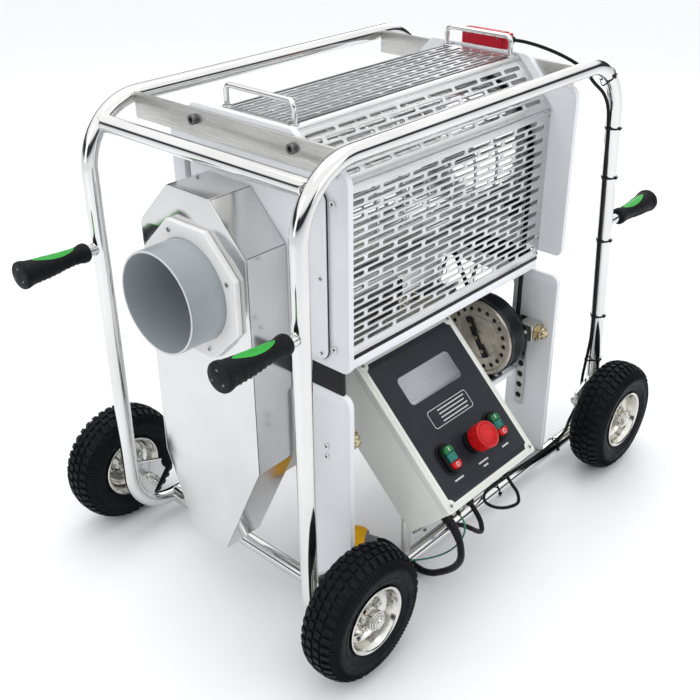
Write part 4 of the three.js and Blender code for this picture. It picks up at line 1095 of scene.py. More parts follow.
def duct():
    lo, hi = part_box("duct_box")
    piece = Piece("duct_sheet")
    holes = [circle(0, PIPE_Z, PIPE_R + GAP, 72)]
    front_face = duct_outline(0.0012)
    piece.put(flat(front_face, 0.0026, holes, 0.0008), MIRROR, at(lo.x, 0, 0, "x"))
    outer, inner = duct_outline(0.0, 0.006), duct_outline(0.0028, 0.004)
    piece.put(ring_wall(outer, inner, hi.x - lo.x - 0.0036), MIRROR, at(lo.x + 0.001, 0, 0, "x"))
    back_hole = box_outline(-0.03, 0.045, 0.19, 0.33, 0.006)
    piece.put(flat(duct_outline(0.0012), 0.0028, [back_hole], 0.0008), MIRROR, at(hi.x - 0.0028, 0, 0, "x"))
    # The folded front edge overlaps the wrapper as a shallow rim, with a short seam on its crown.
    rim_out, rim_in = duct_outline(0.0, 0.007), duct_outline(0.003, 0.005)
    piece.put(ring_wall(rim_out, rim_in, 0.0022), MIRROR, at(lo.x + 0.0002, 0, 0, "x"))
    piece.put(brick((lo.x + 0.01, -0.052, 0.8497), (lo.x + 0.0112, 0.052, 0.85005), 0.0001, 1), DARK_STEEL)
    # Painted reflection: dark steel strips along the two front folds give the dark line that the polished
    # sheet shows where it bends.
    for y, z in ((-0.1352, 0.7675), (-0.0558, 0.8488)):  # folds of the bevel beside the crown
        piece.put(brick((lo.x + 0.003, y - 0.0008, z - 0.0008), (hi.x - 0.002, y + 0.0004, z + 0.0008),
                        0.0002, 1),
                  DARK_STEEL)
    piece.make("frame", "duct_box", slot="stainless")

    piece = Piece("duct_ring")
    face = [Vector((FLANGE_APOTHEM / math.cos(math.pi / 8) * math.cos(math.pi / 4 * (k + 0.5)),
                    PIPE_Z + FLANGE_APOTHEM / math.cos(math.pi / 8) * math.sin(math.pi / 4 * (k + 0.5))))
            for k in range(8)]
    lo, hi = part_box("duct_flange")
    piece.put(flat(face, hi.x - lo.x, [circle(0, PIPE_Z, PIPE_R + GAP, 72)], 0.0012, 3), FLANGE_WHITE,
              at(lo.x, 0, 0, "x"))
    for k in range(8):
        turn = math.pi / 4 * (k + 0.5)
        if k % 2:
            pan_screw(piece, at(lo.x, 0.1085 * math.cos(turn), PIPE_Z + 0.1085 * math.sin(turn), "-x"),
                      0.0085)
    piece.make("frame", "duct_flange", slot="white_plastic")

    lo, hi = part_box("duct_pipe")
    piece = Piece("duct_spigot")
    length = hi.x - lo.x + 0.052
    wall = [(PIPE_R - 0.004, 0.0008), (PIPE_R - 0.0002, 0.0008, 0.0004), (PIPE_R, 0.003, 0.002),
            (PIPE_R, length),
            (PIPE_R - 0.004, length)]
    piece.put(lathe(wall, 96), PIPE, at(lo.x, 0, PIPE_Z, "x"))
    cut = [(PIPE_R - 0.0039, 0.0), (PIPE_R - 0.0004, 0.0, 0.0003), (PIPE_R - 0.0004, 0.0012),
           (PIPE_R - 0.0039, 0.0012)]
    piece.put(lathe(cut, 96), PIPE_CUT, at(lo.x, 0, PIPE_Z, "x"))
    piece.make("frame", "duct_pipe", slot="pipe")


def near_cover():
    """The white inspection cover with its screws, and a black sheet between its halves that paints the dark
    shadow line of the gap round its edge.
    """
    lo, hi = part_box("near_cover")
    piece = Piece("near_hatch")
    mid = (lo.x + hi.x) / 2
    piece.put(flat(box_outline(lo.y, hi.y, lo.z, hi.z, 0.02, 8), hi.x - mid - 0.0006, edge=0.0008), WHITE,
              at(mid + 0.0006, 0, 0, "x"))
    # Painted shadow: a black sheet, 1.2 mm wider than the cover all round, gives the dark line of the shaded
    # gap between the cover and the plate.
    piece.put(flat(box_outline(lo.y - 0.0012, hi.y + 0.0012, lo.z - 0.0012, hi.z + 0.0012, 0.021, 8), 0.003,
                   edge=0.0006),
              BLACK, at(mid - 0.0014, 0, 0, "x"))
    piece.put(flat(box_outline(lo.y, hi.y, lo.z, hi.z, 0.02, 8), mid - lo.x - 0.0006, edge=0.0012, steps=3),
              WHITE,
              at(lo.x, 0, 0, "x"))
    for y in (lo.y + 0.012, hi.y - 0.012):
        for z in (lo.z + 0.014, (lo.z + hi.z) / 2, hi.z - 0.014):
            pan_screw(piece, at(lo.x, y, z, "-x"), 0.007)
    piece.make("frame", "near_cover", slot="white")


duct()
near_cover()


# ---- drum, reel and rollers ----------------------------------------------------------------------
def tumbler():
    """Slotted drum: two running rings joined by bars, with thin hoops between them."""
    lo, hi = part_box("tumbler_drum")
    piece = Piece("tumbler_shell")
    place = at(0, DRUM_Y, DRUM_Z, "x")
    for x0, x1 in ((lo.x, -0.338), (0.242, hi.x)):
        ring = [(DRUM_R - 0.0035, x0), (RING_R, x0, 0.001), (RING_R, x1, 0.001), (DRUM_R - 0.0035, x1)]
        piece.put(lathe(ring, 96), GROUND_STEEL, place)
    bar = [(-0.0034, 0), (0.0034, 0), (0.0034, 0.004), (-0.0034, 0.004)]
    for k in range(64):
        turn = 2 * math.pi * k / 64
        shape = rounded([(a, DRUM_R - 0.0038 + b, 0.0004) for a, b in bar], 2)
        place_bar = place @ spin(turn) @ move(0, 0, -0.3385)
        points = [[Vector((p.x, p.y, z)) for p in shape] for z in (0, 0.581)]
        piece.put(loft(points), STAINLESS, place_bar)
    for k in range(1, 8):
        x = -0.338 + 0.58 * k / 8
        hoop = [(DRUM_R - 0.0042, x - 0.003), (DRUM_R - 0.001, x - 0.003, 0.0004),
                (DRUM_R - 0.001, x + 0.003, 0.0004), (DRUM_R - 0.0042, x + 0.003)]
        piece.put(lathe(hoop, 96), STAINLESS, place)
    for k in range(3):  # tumbling paddles inside
        turn = place @ spin(2 * math.pi * k / 3 + 0.4)
        piece.put(brick((0.118, -0.0012, -0.33), (DRUM_R - 0.0038, 0.0012, 0.236), 0.0006), STAINLESS, turn)
    piece.make("tumbler", "tumbler_drum", slot="stainless")


def cutting_reel():
    """A shaft with spider discs, five ground helical blades, and its grooved pulley."""
    lo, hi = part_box("cutting_reel")
    piece = Piece("reel_blades")
    place = at(0, DRUM_Y, REEL_Z, "x")
    piece.put(rod(SHAFT_R, lo.x, hi.x, 0.001, 0.001, 32), GROUND_STEEL,
              place)
    start, length, turns = -0.33, 0.565, 0.75
    for k in range(5):
        rings = []
        for j in range(61):
            angle = 2 * math.pi * (k / 5 + turns * j / 60)
            along = start + length * j / 60
            ring = []
            for radius, lead in ((0.0125, -0.18), (0.03, -0.075), (0.0378, -0.05), (0.038, -0.01),
                                 (0.0345, 0.012), (0.024, 0.03), (0.0125, 0.06)):
                ring.append(Vector((radius * math.cos(angle + lead), radius * math.sin(angle + lead), along)))
            rings.append(ring)
        piece.put(loft(rings), GROUND_STEEL, place)
    for j in range(5):
        x = start + length * j / 4
        x = min(max(x, start + 0.003), start + length - 0.003)
        disc = [(0.0085, x - 0.0025), (0.026, x - 0.0025, 0.0006), (0.026, x + 0.0025, 0.0006),
                (0.0085, x + 0.0025)]
        piece.put(lathe(disc, 40), DARK_STEEL, place)
    piece.put(pulley(REEL_PULLEY_R, *REEL_PULLEY_X), GROUND_STEEL, place)
    piece.make("reel", "cutting_reel", slot="steel")


def pulley(radius, x0, x1):
    """A flat pulley with rims and a recessed web, along local z."""
    mid = (x0 + x1) / 2
    return lathe([(0.008, x0), (0.014, x0, 0.0005), (0.014, x0 + 0.003, 0.001),
                  (radius - 0.005, x0 + 0.003, 0.001),
                  (radius - 0.004, x0 + 0.0004, 0.0004), (radius, x0 + 0.0004, 0.0004),
                  (radius, x0 + 0.0016, 0.0003), (radius - 0.0012, x0 + 0.002, 0.0002),
                  (radius - 0.0012, mid),
                  (radius - 0.0012, x1 - 0.002, 0.0002), (radius, x1 - 0.0016, 0.0003),
                  (radius, x1 - 0.0004, 0.0004), (radius - 0.004, x1 - 0.0004, 0.0004),
                  (radius - 0.005, x1 - 0.003, 0.001), (0.014, x1 - 0.003, 0.001), (0.014, x1, 0.0005),
                  (0.008, x1)], 64)


def rollers():
    for name in ("front", "rear"):
        lo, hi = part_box(f"roller_shaft_{name}")
        y, z = (lo.y + hi.y) / 2, (lo.z + hi.z) / 2
        place = at(0, y, z, "x")
        piece = Piece(f"support_roller_{name}")
        piece.put(rod(0.008, lo.x, hi.x, 0.001, 0.001, 28), GROUND_STEEL,
                  place)
        for x0, x1 in ((-0.356, -0.338), (0.243, 0.26)):
            piece.put(lathe([(0.0078, x0), (0.0185, x0, 0.001), (0.02, x0 + 0.002, 0.001),
                             (0.02, x1 - 0.002, 0.001), (0.0185, x1, 0.001), (0.0078, x1)], 40), BLACK, place)
        piece.make(f"roller_{name}", f"roller_shaft_{name}", slot="steel")


tumbler()
cutting_reel()
rollers()


# ---- motors, belts and inner structure -----------------------------------------------------------
SHELF_TOP = 0.258
MOTORS = {"drum": (-0.134, 0.356, 0.093, 0.184, 0.238), "reel": (0.038, 0.34, 0.07, 0.19, 0.275)}


def motor(name, node):
    """A pancake motor: black finned shell, cast end bell with vents, bracket bar, foot and screws."""
    y, z, radius, near, far = MOTORS[name]
    piece = Piece(f"{name}_motor_shell")
    place = at(near, y, z, "x")  # local z runs from near to far
    deep = far - near
    shell = [(radius - 0.006, 0.0045), (radius - 0.0015, 0.0045, 0.0015), (radius, 0.008, 0.002)]
    for k in range(6):
        along = 0.013 + (deep - 0.024) * k / 6
        shell += [(radius, along, 0.0006), (radius - 0.0022, along + 0.0012, 0.0006),
                  (radius - 0.0022, along + 0.0036, 0.0006), (radius, along + 0.0048, 0.0006)]
    shell += [(radius, deep - 0.004, 0.002), (radius - 0.006, deep, 0.002), (0.0115, deep),
              (0.0115, deep - 0.004),
              (radius - 0.012, deep - 0.004, 0.002), (radius - 0.006, deep - 0.01)]
    piece.put(lathe(shell, 96), ENAMEL, place)
    # The end bell: a raised rim, a dished face with a ring of vents, and a bearing boss.
    vents = []
    for k in range(20):
        turn = 2 * math.pi * k / 20
        vents.append(circle(radius * 0.735 * math.cos(turn), radius * 0.735 * math.sin(turn), radius * 0.055,
                            18))
    face = circle(0, 0, radius * 0.86, 80)
    piece.put(flat(face, 0.003, vents, 0.0006), CAST, place @ move(0, 0, 0.0036))
    piece.put(rod(radius * 0.84, 0.0068, 0.012, 0, 0, 64), BLACK, place)
    rim = [(radius * 0.84, 0.005), (radius * 0.86, 0.0006, 0.0016), (radius * 0.93, 0.0006, 0.0018),
           (radius * 0.965, 0.0045, 0.0016), (radius * 0.965, 0.009), (radius * 0.84, 0.009)]
    piece.put(lathe(rim, 96), CAST, place)
    boss = [(TIP, 0.0002), (radius * 0.17, 0.0002, 0.0012), (radius * 0.21, 0.003, 0.0016),
            (radius * 0.42, 0.0032, 0.001), (radius * 0.45, 0.0045), (TIP, 0.0045)]
    piece.put(lathe(boss, 56), CAST, place)
    ring = [(radius * 0.52, 0.004), (radius * 0.53, 0.0022, 0.0005), (radius * 0.56, 0.0022, 0.0005),
            (radius * 0.57, 0.004)]
    piece.put(lathe(ring, 72), CAST, place)
    bar = place @ spin(math.radians(58))
    piece.put(brick((-radius * 0.52, -0.0065, -0.0024), (radius * 0.56, 0.0065, 0.003), 0.0012), BLACK, bar)
    for a in (-radius * 0.34, radius * 0.02, radius * 0.36):
        pan_screw(piece, bar @ move(a, 0, -0.0024) @ Matrix.Rotation(math.pi, 4, "X"), 0.0085, BRASS)
    for k in range(4):
        turn = math.pi / 4 + math.pi / 2 * k
        pan_screw(piece, place @ move(radius * 0.9 * math.cos(turn), radius * 0.9 * math.sin(turn),
                                                     0.0006) @ Matrix.Rotation(math.pi, 4, "X"), 0.0075, ZINC)
    foot_low = SHELF_TOP + GAP
    saddle = [(y - 0.045, foot_low, 0.0015), (y + 0.045, foot_low, 0.0015),
              (y + 0.045, foot_low + 0.006, 0.0015),
              (y + 0.03, foot_low + 0.009, 0.003), (y + 0.026, z - radius * 0.86),
              (y - 0.026, z - radius * 0.86),
              (y - 0.03, foot_low + 0.009, 0.003), (y - 0.045, foot_low + 0.006, 0.0015)]
    piece.put(flat(rounded(saddle), deep - 0.016, edge=0.0008), ENAMEL, at(near + 0.008, 0, 0, "x"))
    for way in (-0.038, 0.038):
        hex_bolt(piece, at((near + far) / 2, y + way, foot_low + 0.006), 0.01, 0.0045)
    piece.make("frame", node, slot="motor")


def motor_pulley(name, body, node, span):
    y, z = MOTORS[name][:2]
    lo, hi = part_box(node)
    piece = Piece(f"{name}_motor_pulley")
    place = at(0, y, z, "x")
    piece.put(rod(SHAFT_R, lo.x, hi.x, 0.0008, 0.0008, 28), GROUND_STEEL,
              place)
    piece.put(pulley(MOTOR_PULLEY_R, *span), GROUND_STEEL, place)
    piece.put(brick((-0.002, 0.007, hi.x - 0.016), (0.002, 0.0105, hi.x - 0.0035), 0.0003), DARK_STEEL, place)
    piece.make(body, node, slot="steel")


def wrap(a, b, grow, count):
    """The loop of an open belt round two pulleys (y, z, radius), as points with even counts."""
    (ya, za, ra), (yb, zb, rb) = a, b
    ra, rb = ra + grow, rb + grow
    span, along = math.hypot(yb - ya, zb - za), math.atan2(zb - za, yb - ya)
    tilt = math.acos((ra - rb) / span)
    points = []
    for y, z, r, t0, t1, steps in ((ya, za, ra, along + tilt, along + 2 * math.pi - tilt, count),
                                   (yb, zb, rb, along - tilt, along + tilt, count // 2)):
        for k in range(steps + 1):
            t = t0 + (t1 - t0) * k / steps
            points.append(Vector((y + r * math.cos(t), z + r * math.sin(t))))
    return points


def belt(name, node, a, b):
    """A ribbed belt: a smooth back and three ribs on the side that runs on the pulleys."""
    lo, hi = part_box(node)
    width, thick = hi.x - lo.x, 0.004
    section = [(0.0, 0.0016), (0.0, thick - 0.0006), (0.0006, thick), (width - 0.0006, thick),
               (width, thick - 0.0006), (width, 0.0016)]
    for k in range(3):
        mid = width - width * (k + 0.5) / 3
        section += [(mid + width * 0.13, 0.0002), (mid - width * 0.13, 0.0002)]
        if k < 2:
            section.append((mid - width / 6, 0.0018))
    loops = [wrap(a, b, 0.001 + lift, 72) for _, lift in section]
    rings = [[Vector((lo.x + across, p.x, p.y)) for p in loop] for (across, _), loop in zip(section, loops)]
    Piece(name).put(loft(rings, closed=True), BELT).make("frame", node, slot="rubber")


def inner_structure():
    lo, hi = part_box("motor_shelf")
    piece = Piece("shelf_plate").put(brick(lo, hi, 0.0012, 3), WHITE)
    for y in (lo.y + 0.02, hi.y - 0.02):
        hex_bolt(piece, at(hi.x - 0.012, y, hi.z), 0.008, 0.004)
    piece.make("frame", "motor_shelf", slot="brushed")
    lo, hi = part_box("bed_knife")
    piece = Piece("knife_bar").put(brick(lo, hi, 0.0008), GROUND_STEEL)
    for k in range(7):
        x = lo.x + 0.05 + (hi.x - lo.x - 0.1) * k / 6
        socket_bolt(piece, at(x, lo.y, (lo.z + hi.z) / 2 - 0.006, "-y"), 0.009, 0.004)
    piece.make("frame", "bed_knife", slot="steel")
    lo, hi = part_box("leaf_tray")
    shape = rounded([(-0.08, 0.48), (0.0, 0.18, 0.006), (0.06, 0.18, 0.006), (0.11, 0.48), (0.107, 0.48),
                     (0.0575, 0.1825, 0.004), (0.0025, 0.1825, 0.004), (-0.077, 0.48)])
    piece = Piece("leaf_chute").put(flat(shape, hi.x - lo.x, edge=0.0005), BRUSHED_X, at(lo.x, 0, 0, "x"))
    piece.make("frame", "leaf_tray", slot="stainless")


motor("drum", "drum_motor")
motor("reel", "reel_motor")
motor_pulley("drum", "drum_drive", "drum_pulley", DRUM_PULLEY_X)
motor_pulley("reel", "reel_drive", "reel_motor_pulley", REEL_PULLEY_X)
belt("drum_belt_ribbed", "drum_belt", (DRUM_Y, DRUM_Z, RING_R), (*MOTORS["drum"][:2], MOTOR_PULLEY_R))
belt("reel_belt_ribbed", "reel_belt", (*MOTORS["reel"][:2], MOTOR_PULLEY_R), (DRUM_Y, REEL_Z, REEL_PULLEY_R))
inner_structure()


# ---- control box ---------------------------------------------------------------------------------
# A tilted frame: local x along the machine, local y up the slope, local z out of the lid.
PANEL = move(-0.109, -0.2805, 0.3725) @ Matrix.Rotation(math.radians(44.47), 4, "X")
BOX_HALF_X, BOX_HALF_Y, BOX_DEPTH, LID_DEPTH, BOX_WALL = 0.142, 0.166, 0.13, 0.018, 0.004
HEAD_X, HEAD_Y, STOP_X = 0.075, -0.079, 0.002
LOWER_FACE = PANEL @ move(0, -BOX_HALF_Y, 0) @ Matrix.Rotation(math.pi / 2, 4, "X")
# On the lower face, local x is along the machine, local y up out of the lid, and local z outwards.
GLANDS = ((-0.112, -0.048, 0.011), (-0.03, -0.062, 0.009), (0.1, -0.07, 0.008), (-0.088, -0.04, 0.004))


def gland(piece, x, z, radius):
    """A cable gland: a hexagon body, a domed cap and a collar."""
    place = LOWER_FACE @ move(x, z, 0)
    piece.put(flat(hexagon(radius * 1.95), 0.006, edge=0.0008), BLACK, place)
    cap = [(radius * 0.6, 0.0055), (radius * 0.98, 0.0055), (radius, 0.007, 0.001),
           (radius * 0.98, 0.012, 0.002), (radius * 0.8, 0.0158, 0.002), (radius * 0.6, 0.016)]
    piece.put(lathe(cap, 36), BLACK, place)
    for k in range(12):
        turn = place @ spin(2 * math.pi * k / 12)
        piece.put(brick((radius * 0.96, -radius * 0.07, 0.0062), (radius * 1.05, radius * 0.07, 0.012),
                        0.0003, 1),
                  BLACK, turn)


def control_box():
    """The cream enclosure with its glands, hinge-side seam, back plate and mounting bar."""
    piece = Piece("control_enclosure")
    half_x, half_y = BOX_HALF_X - 0.001, BOX_HALF_Y - 0.001
    outer = box_outline(-half_x, half_x, -half_y, half_y, 0.006, 6)
    inner = box_outline(-half_x + BOX_WALL, half_x - BOX_WALL, -half_y + BOX_WALL, half_y - BOX_WALL, 0.004,
                        6)
    base = PANEL @ move(0, 0, -BOX_DEPTH)
    wall = BOX_DEPTH - LID_DEPTH - GAP - 0.001
    piece.put(ring_wall(outer, inner, wall), CREAM, base @ move(0, 0, 0.001))
    piece.put(flat(outer, BOX_WALL, edge=0.0018, steps=3), CREAM, base)
    groove = box_outline(-half_x + 0.002, half_x - 0.002, -half_y + 0.002, half_y - 0.002, 0.005, 6)
    piece.put(ring_wall(groove, inner, 0.0012), BLACK, PANEL @ move(0, 0, -LID_DEPTH - 0.0014))
    for x, z, radius in GLANDS:
        gland(piece, x, z, radius)
    bar = LOWER_FACE @ move(0, -BOX_DEPTH, 0)
    piece.put(brick((-0.138, 0.004, 0.0001), (0.128, 0.03, 0.0032), 0.0008), BRUSHED_X, bar)
    piece.put(brick((-0.138, 0.0004, -0.001), (0.128, 0.004, 0.0032), 0.0006), DARK_STEEL, bar)
    for x in (-0.118, 0.1):
        hex_bolt(piece, bar @ move(x, 0.017, 0.0032), 0.012, 0.0055, GROUND_STEEL)
    piece.make("frame", "control_box", slot="cream")

    piece = Piece("strain_relief")
    x, z, _ = GLANDS[0]
    root, count = 0.0098, 30
    exit_point = (LOWER_FACE @ move(x, z, 0)) @ Vector((0, 0, 0.0162))
    path, far = smooth(POWER_ROUTE, CORD_STEPS), 0
    while (path[far] - path[0]).length < SLEEVE_LENGTH:
        far += 1
    stations = spaced(path[:far + 1], count)
    radii = [root - 0.0018 * k / count - (0.001 if 3 < k < 28 and k % 4 in (2, 3) else 0.0)
             for k in range(count + 1)]
    piece.put(tube([exit_point, *stations], [root, *radii], 28), BLACK)
    piece.make("frame")


def control_lid():
    """The lid: rounded frame, corner screws on pads, dark overlay with blank labels, stop-button collar."""
    piece = Piece("control_cover")
    outline = box_outline(-BOX_HALF_X, BOX_HALF_X, -BOX_HALF_Y, BOX_HALF_Y, 0.008, 8)
    piece.put(flat(outline, LID_DEPTH - 0.0012, edge=0.0022, steps=4), CREAM, PANEL @ move(0, 0, -LID_DEPTH))
    plate = box_outline(-0.1335, 0.1335, -0.1575, 0.1575, 0.003, 4)
    piece.put(flat(plate, 0.0016, edge=0.0005), CREAM, PANEL @ move(0, 0, -0.0016))
    pad = 0.0125
    shape = []
    for a, b in ((-1, -1), (1, -1), (1, 1), (-1, 1)):
        u, v, cu, cv = a * 0.1265, b * 0.1515, a * 0.129, b * 0.153
        arc = []
        for k in range(9):
            t = math.pi / 2 * k / 8
            arc.append(Vector((cu - a * pad * math.cos(t), cv - b * pad * math.sin(t))))
        start, stop = Vector((cu - a * pad, v)), Vector((u, cv - b * pad))
        run = [start, *arc, stop]
        shape += run if a * b < 0 else list(reversed(run))
    piece.put(flat(shape, 0.0004, edge=0.0001, steps=1), OVERLAY, PANEL)
    for a, b in ((a, b) for a in (-1, 1) for b in (-1, 1)):
        spot = PANEL @ move(a * 0.129, b * 0.153, 0)
        piece.put(lathe([(0.0042, -0.001), (0.0085, -0.001), (0.0085, 0.0006, 0.0004),
                         (0.006, 0.0008, 0.0004),
                         (0.0042, 0.0001)], 36), CREAM, spot)
        pan_screw(piece, spot @ move(0, 0, -0.0004), 0.008, ZINC)
    # A blank nameplate, a blank framed label and short bars under the switches.
    top = PANEL @ move(0, 0, 0.0004)
    name = box_outline(-0.078, 0.078, 0.04, 0.1, 0.01, 8)
    piece.put(flat(name, 0.0006, edge=0.0002, steps=1), NAMEPLATE, top)
    outer, inner = (box_outline(-0.058 + i, 0.062 - i, -0.022 + i, 0.016 - i, 0.007 - i, 6)
                    for i in (0, 0.0014))
    piece.put(flat(outer, 0.0002, [inner], 0.00008, 1), LINE, top)
    for k in range(4):
        b = 0.0085 - 0.0078 * k
        piece.put(brick((-0.03, b - 0.0012, 0), (0.052 - 0.004 * (k % 2), b + 0.0012, 0.0002), 0.00008, 1),
                  LINE, top)
    for x, w, b in ((-HEAD_X, 0.026, -0.121), (HEAD_X, 0.02, -0.121), (STOP_X, 0.03, -0.121),
                    (STOP_X, 0.014, -0.13)):
        piece.put(brick((x - w / 2, b - 0.0016, 0), (x + w / 2, b + 0.0016, 0.0002), 0.00008, 1), LINE, top)
    collar = [(0.0125, 0.0004), (0.0232, 0.0004, 0.0006), (0.0225, 0.003, 0.001), (0.0216, 0.0098, 0.0014),
              (0.0125, 0.01, 0.0008)]
    piece.put(lathe(collar, 56), BLACK, PANEL @ move(STOP_X, HEAD_Y, 0))
    piece.make("frame", "control_lid", slot="cream")


def button_outline(way, grow=0.0):
    """The end segment of an oblong head: square towards the middle, round at its outer end."""
    w = 0.0117 + grow
    near, far = 0.0093 - grow, 0.0237 + grow
    shape = [(-w, near, 0.0012), (w, near, 0.0012), (w, far, 0.0095), (-w, far, 0.0095)]
    return [Vector((p.x, HEAD_Y + way * p.y)) for p in rounded(shape, 8)]


def switches():
    """Twin-button heads with a window between the start and stop buttons."""
    for name, x in (("tumbler", -HEAD_X), ("reel", HEAD_X)):
        place = PANEL @ move(x, 0, 0)
        piece = Piece(f"{name}_switch_head")
        skirt = [Vector((p.y, p.x + HEAD_Y)) for p in oblong(0, 0, 0.066, 0.042, 10)]
        piece.put(flat(skirt, 0.0036, edge=0.001, steps=3), BLACK, place @ move(0, 0, 0.0004))
        body = [Vector((p.y, p.x + HEAD_Y)) for p in oblong(0, 0, 0.058, 0.034, 10)]
        pockets = [button_outline(way, 0.0004) for way in (1, -1)]
        piece.put(flat(body, 0.0101, pockets, 0.0012, 3), BLACK, place @ move(0, 0, 0.0039))
        window = box_outline(-0.0112, 0.0112, HEAD_Y - 0.0084, HEAD_Y + 0.0084, 0.001, 4)
        piece.put(flat(window, 0.0052, edge=0.001, steps=3), TEAL, place @ move(0, 0, 0.013))
        lens = place @ move(0, HEAD_Y, 0.018)
        piece.put(lathe([(TIP, 0), (0.0052, 0, 0.0002), (0.005, 0.0008, 0.0005), (TIP, 0.001)], 28), TEAL,
                  lens)
        piece.make("frame", f"{name}_switch_base", slot="black")
        for action, way, look, slot in (("start", 1, GREEN, "green"), ("stop", -1, RED, "red")):
            piece = Piece(f"{name}_{action}_cap")
            piece.put(flat(button_outline(way), 0.0125, edge=0.0016, steps=4), look,
                      place @ move(0, 0, 0.0072))
            mark = place @ move(0, HEAD_Y + way * 0.0165, 0.01962)
            if action == "start":
                piece.put(brick((-0.0012, -0.004, 0), (0.0012, 0.004, 0.0003), 0.0001, 1), LINE, mark)
            else:
                piece.put(lathe([(0.003, 0), (0.0044, 0, 0.0001), (0.0044, 0.0003, 0.0001), (0.003, 0.0003)],
                                28),
                          LINE, mark)
            piece.make(f"{name}_{action}", f"{name}_{action}_button", slot=slot)
    piece = Piece("stop_mushroom")
    place = PANEL @ move(STOP_X, HEAD_Y, 0)
    piece.put(rod(0.0119, 0.0092, 0.03, 0.0005, 0, 40), BLACK, place)
    cap = [(0.0118, 0.018), (0.0225, 0.0176, 0.001), (0.025, 0.0196, 0.002), (0.0258, 0.044, 0.002),
           (0.0272, 0.0466, 0.0015), (0.027, 0.0505, 0.0018), (0.024, 0.0522, 0.001),
           (0.0222, 0.0522, 0.0006),
           (0.0216, 0.0508, 0.0005), (0.02, 0.0504, 0.0005), (0.0192, 0.0518, 0.0008), (0.01, 0.0524, 0.004),
           (TIP, 0.0524), (TIP, 0.03), (0.0118, 0.03)]
    piece.put(lathe(cap, 80), RED, place)
    for k in range(36):
        turn = place @ spin(2 * math.pi * k / 36)
        piece.put(brick((0.0248, -0.0009, 0.0215), (0.0264, 0.0009, 0.043), 0.0005, 2), RED, turn)
    piece.make("stop_button", "emergency_stop", slot="red")


def interlock():
    """The red lid switch with its end cap, slotted cover screws and cable nipple."""
    lo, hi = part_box("interlock_switch")
    piece = Piece("interlock_housing")
    piece.put(brick((lo.x, lo.y + 0.012, lo.z), (hi.x, hi.y, hi.z), 0.0016, 3), SWITCH_RED)
    piece.put(brick((lo.x + 0.0012, lo.y, lo.z + 0.001), (hi.x - 0.0012, lo.y + 0.0116, hi.z - 0.0012),
                    0.0014, 3), SWITCH_RED)
    piece.put(brick((lo.x + 0.0016, lo.y + 0.009, lo.z + 0.0016),
                    (hi.x - 0.0016, lo.y + 0.014, hi.z - 0.0016),
                    0.0006), BLACK)
    piece.put(brick((lo.x - 0.0003, lo.y + 0.018, lo.z + 0.004), (lo.x + 0.003, hi.y - 0.008, hi.z - 0.004),
                    0.0003),
              SWITCH_RED)
    for y in (lo.y + 0.0235, hi.y - 0.0135):
        piece.put(brick((lo.x - 0.0006, y - 0.0016, hi.z - 0.0135), (lo.x + 0.001, y + 0.0016, hi.z - 0.006),
                        0.0003),
                  DARK_STEEL)
    for y in (lo.y + 0.02, hi.y - 0.01):
        pan_screw(piece, at((lo.x + hi.x) / 2, y, hi.z - 0.0006), 0.007, ZINC)
    for x in (lo.x + 0.0085, hi.x - 0.0085):
        pan_screw(piece, at(x, lo.y, (lo.z + hi.z) / 2 + 0.004, "-y"), 0.0058, ZINC)
    piece.put(lathe([(0.0037, -0.0005), (0.0066, -0.0005), (0.0066, 0.006, 0.001), (0.0037, 0.0075)], 24),
              BLACK,
              at(0.297, lo.y, 0.98, "-y"))
    piece.make("frame", "interlock_switch", slot="red")


INTERLOCK_ROUTE = [tuple(v / 1000 for v in p) for p in (
    (297, -96.6, 980), (298, -108, 980), (305, -124, 978), (318, -146, 972), (332, -180, 961),
    (346, -212, 946), (358, -234, 930), (369, -252, 906),
    (394, -262, 881), (414.7, -264, 850), (424.8, -264, 812), (434.1, -264, 700), (444.2, -264, 580),
    (455.9, -264, 440), (467.6, -263, 300), (473, -254, 215), (474.4, -250, 175), (472.3, -250, 132),
    (455, -251, 95), (423, -255, 73.5), (383, -268, 68.2), (310, -273.5, 66.8), (250, -273.5, 66.8),
    (150, -268, 68.6), (60, -268, 68.8), (28, -288, 73), (8, -326, 88), (-4, -368, 116), (-9, -394, 147),
    (-9, -389, 168), (-9, -376, 180.5), (-9, -362, 194.5),
)]


def tie_band(piece, centre, axis, radius, cable, squeeze):
    """A cable tie round a tube and the cable on its inner side, with its square head."""
    axis = Vector(axis).normalized()
    centre, cable = Vector(centre), Vector(cable)
    out = cable - centre
    out = (out - axis * out.dot(axis)).normalized()
    side = axis.cross(out)
    reach = (cable - centre).length
    spread = math.acos((radius - squeeze) / reach)
    loop = []
    for k in range(37):
        t = spread + (2 * math.pi - 2 * spread) * k / 36
        loop.append(centre + (radius + 0.0004) * (out * math.cos(t) + side * math.sin(t)))
    for k in range(1, 12):
        t = -spread + 2 * spread * k / 12
        loop.append(cable + (squeeze + 0.0004) * (out * math.cos(t) + side * math.sin(t)))
    rings = []
    for i, p in enumerate(loop):
        on = (loop[(i + 1) % len(loop)] - loop[i - 1]).normalized()
        away = on.cross(axis).normalized()
        rings.append([p + axis * 0.0019 * a + away * 0.0006 * b for a,
                      b in ((1, 1), (1, -1), (-1, -1), (-1, 1))])
    piece.put(loft(rings, closed=True), BLACK)
    turn = spread + 0.55
    head = centre + (radius + 0.0022) * (out * math.cos(turn) + side * math.sin(turn))
    away = (head - centre).normalized()
    across = axis.cross(away)
    frame_matrix = Matrix((axis, across, away)).transposed().to_4x4()
    frame_matrix.translation = head
    piece.put(brick((-0.0028, -0.0024, -0.002), (0.0028, 0.0024, 0.0022), 0.0006), BLACK, frame_matrix)
    piece.put(brick((-0.0018, 0.0022, -0.0004), (0.0018, 0.0085, 0.0004), 0.0002, 1), BLACK, frame_matrix)


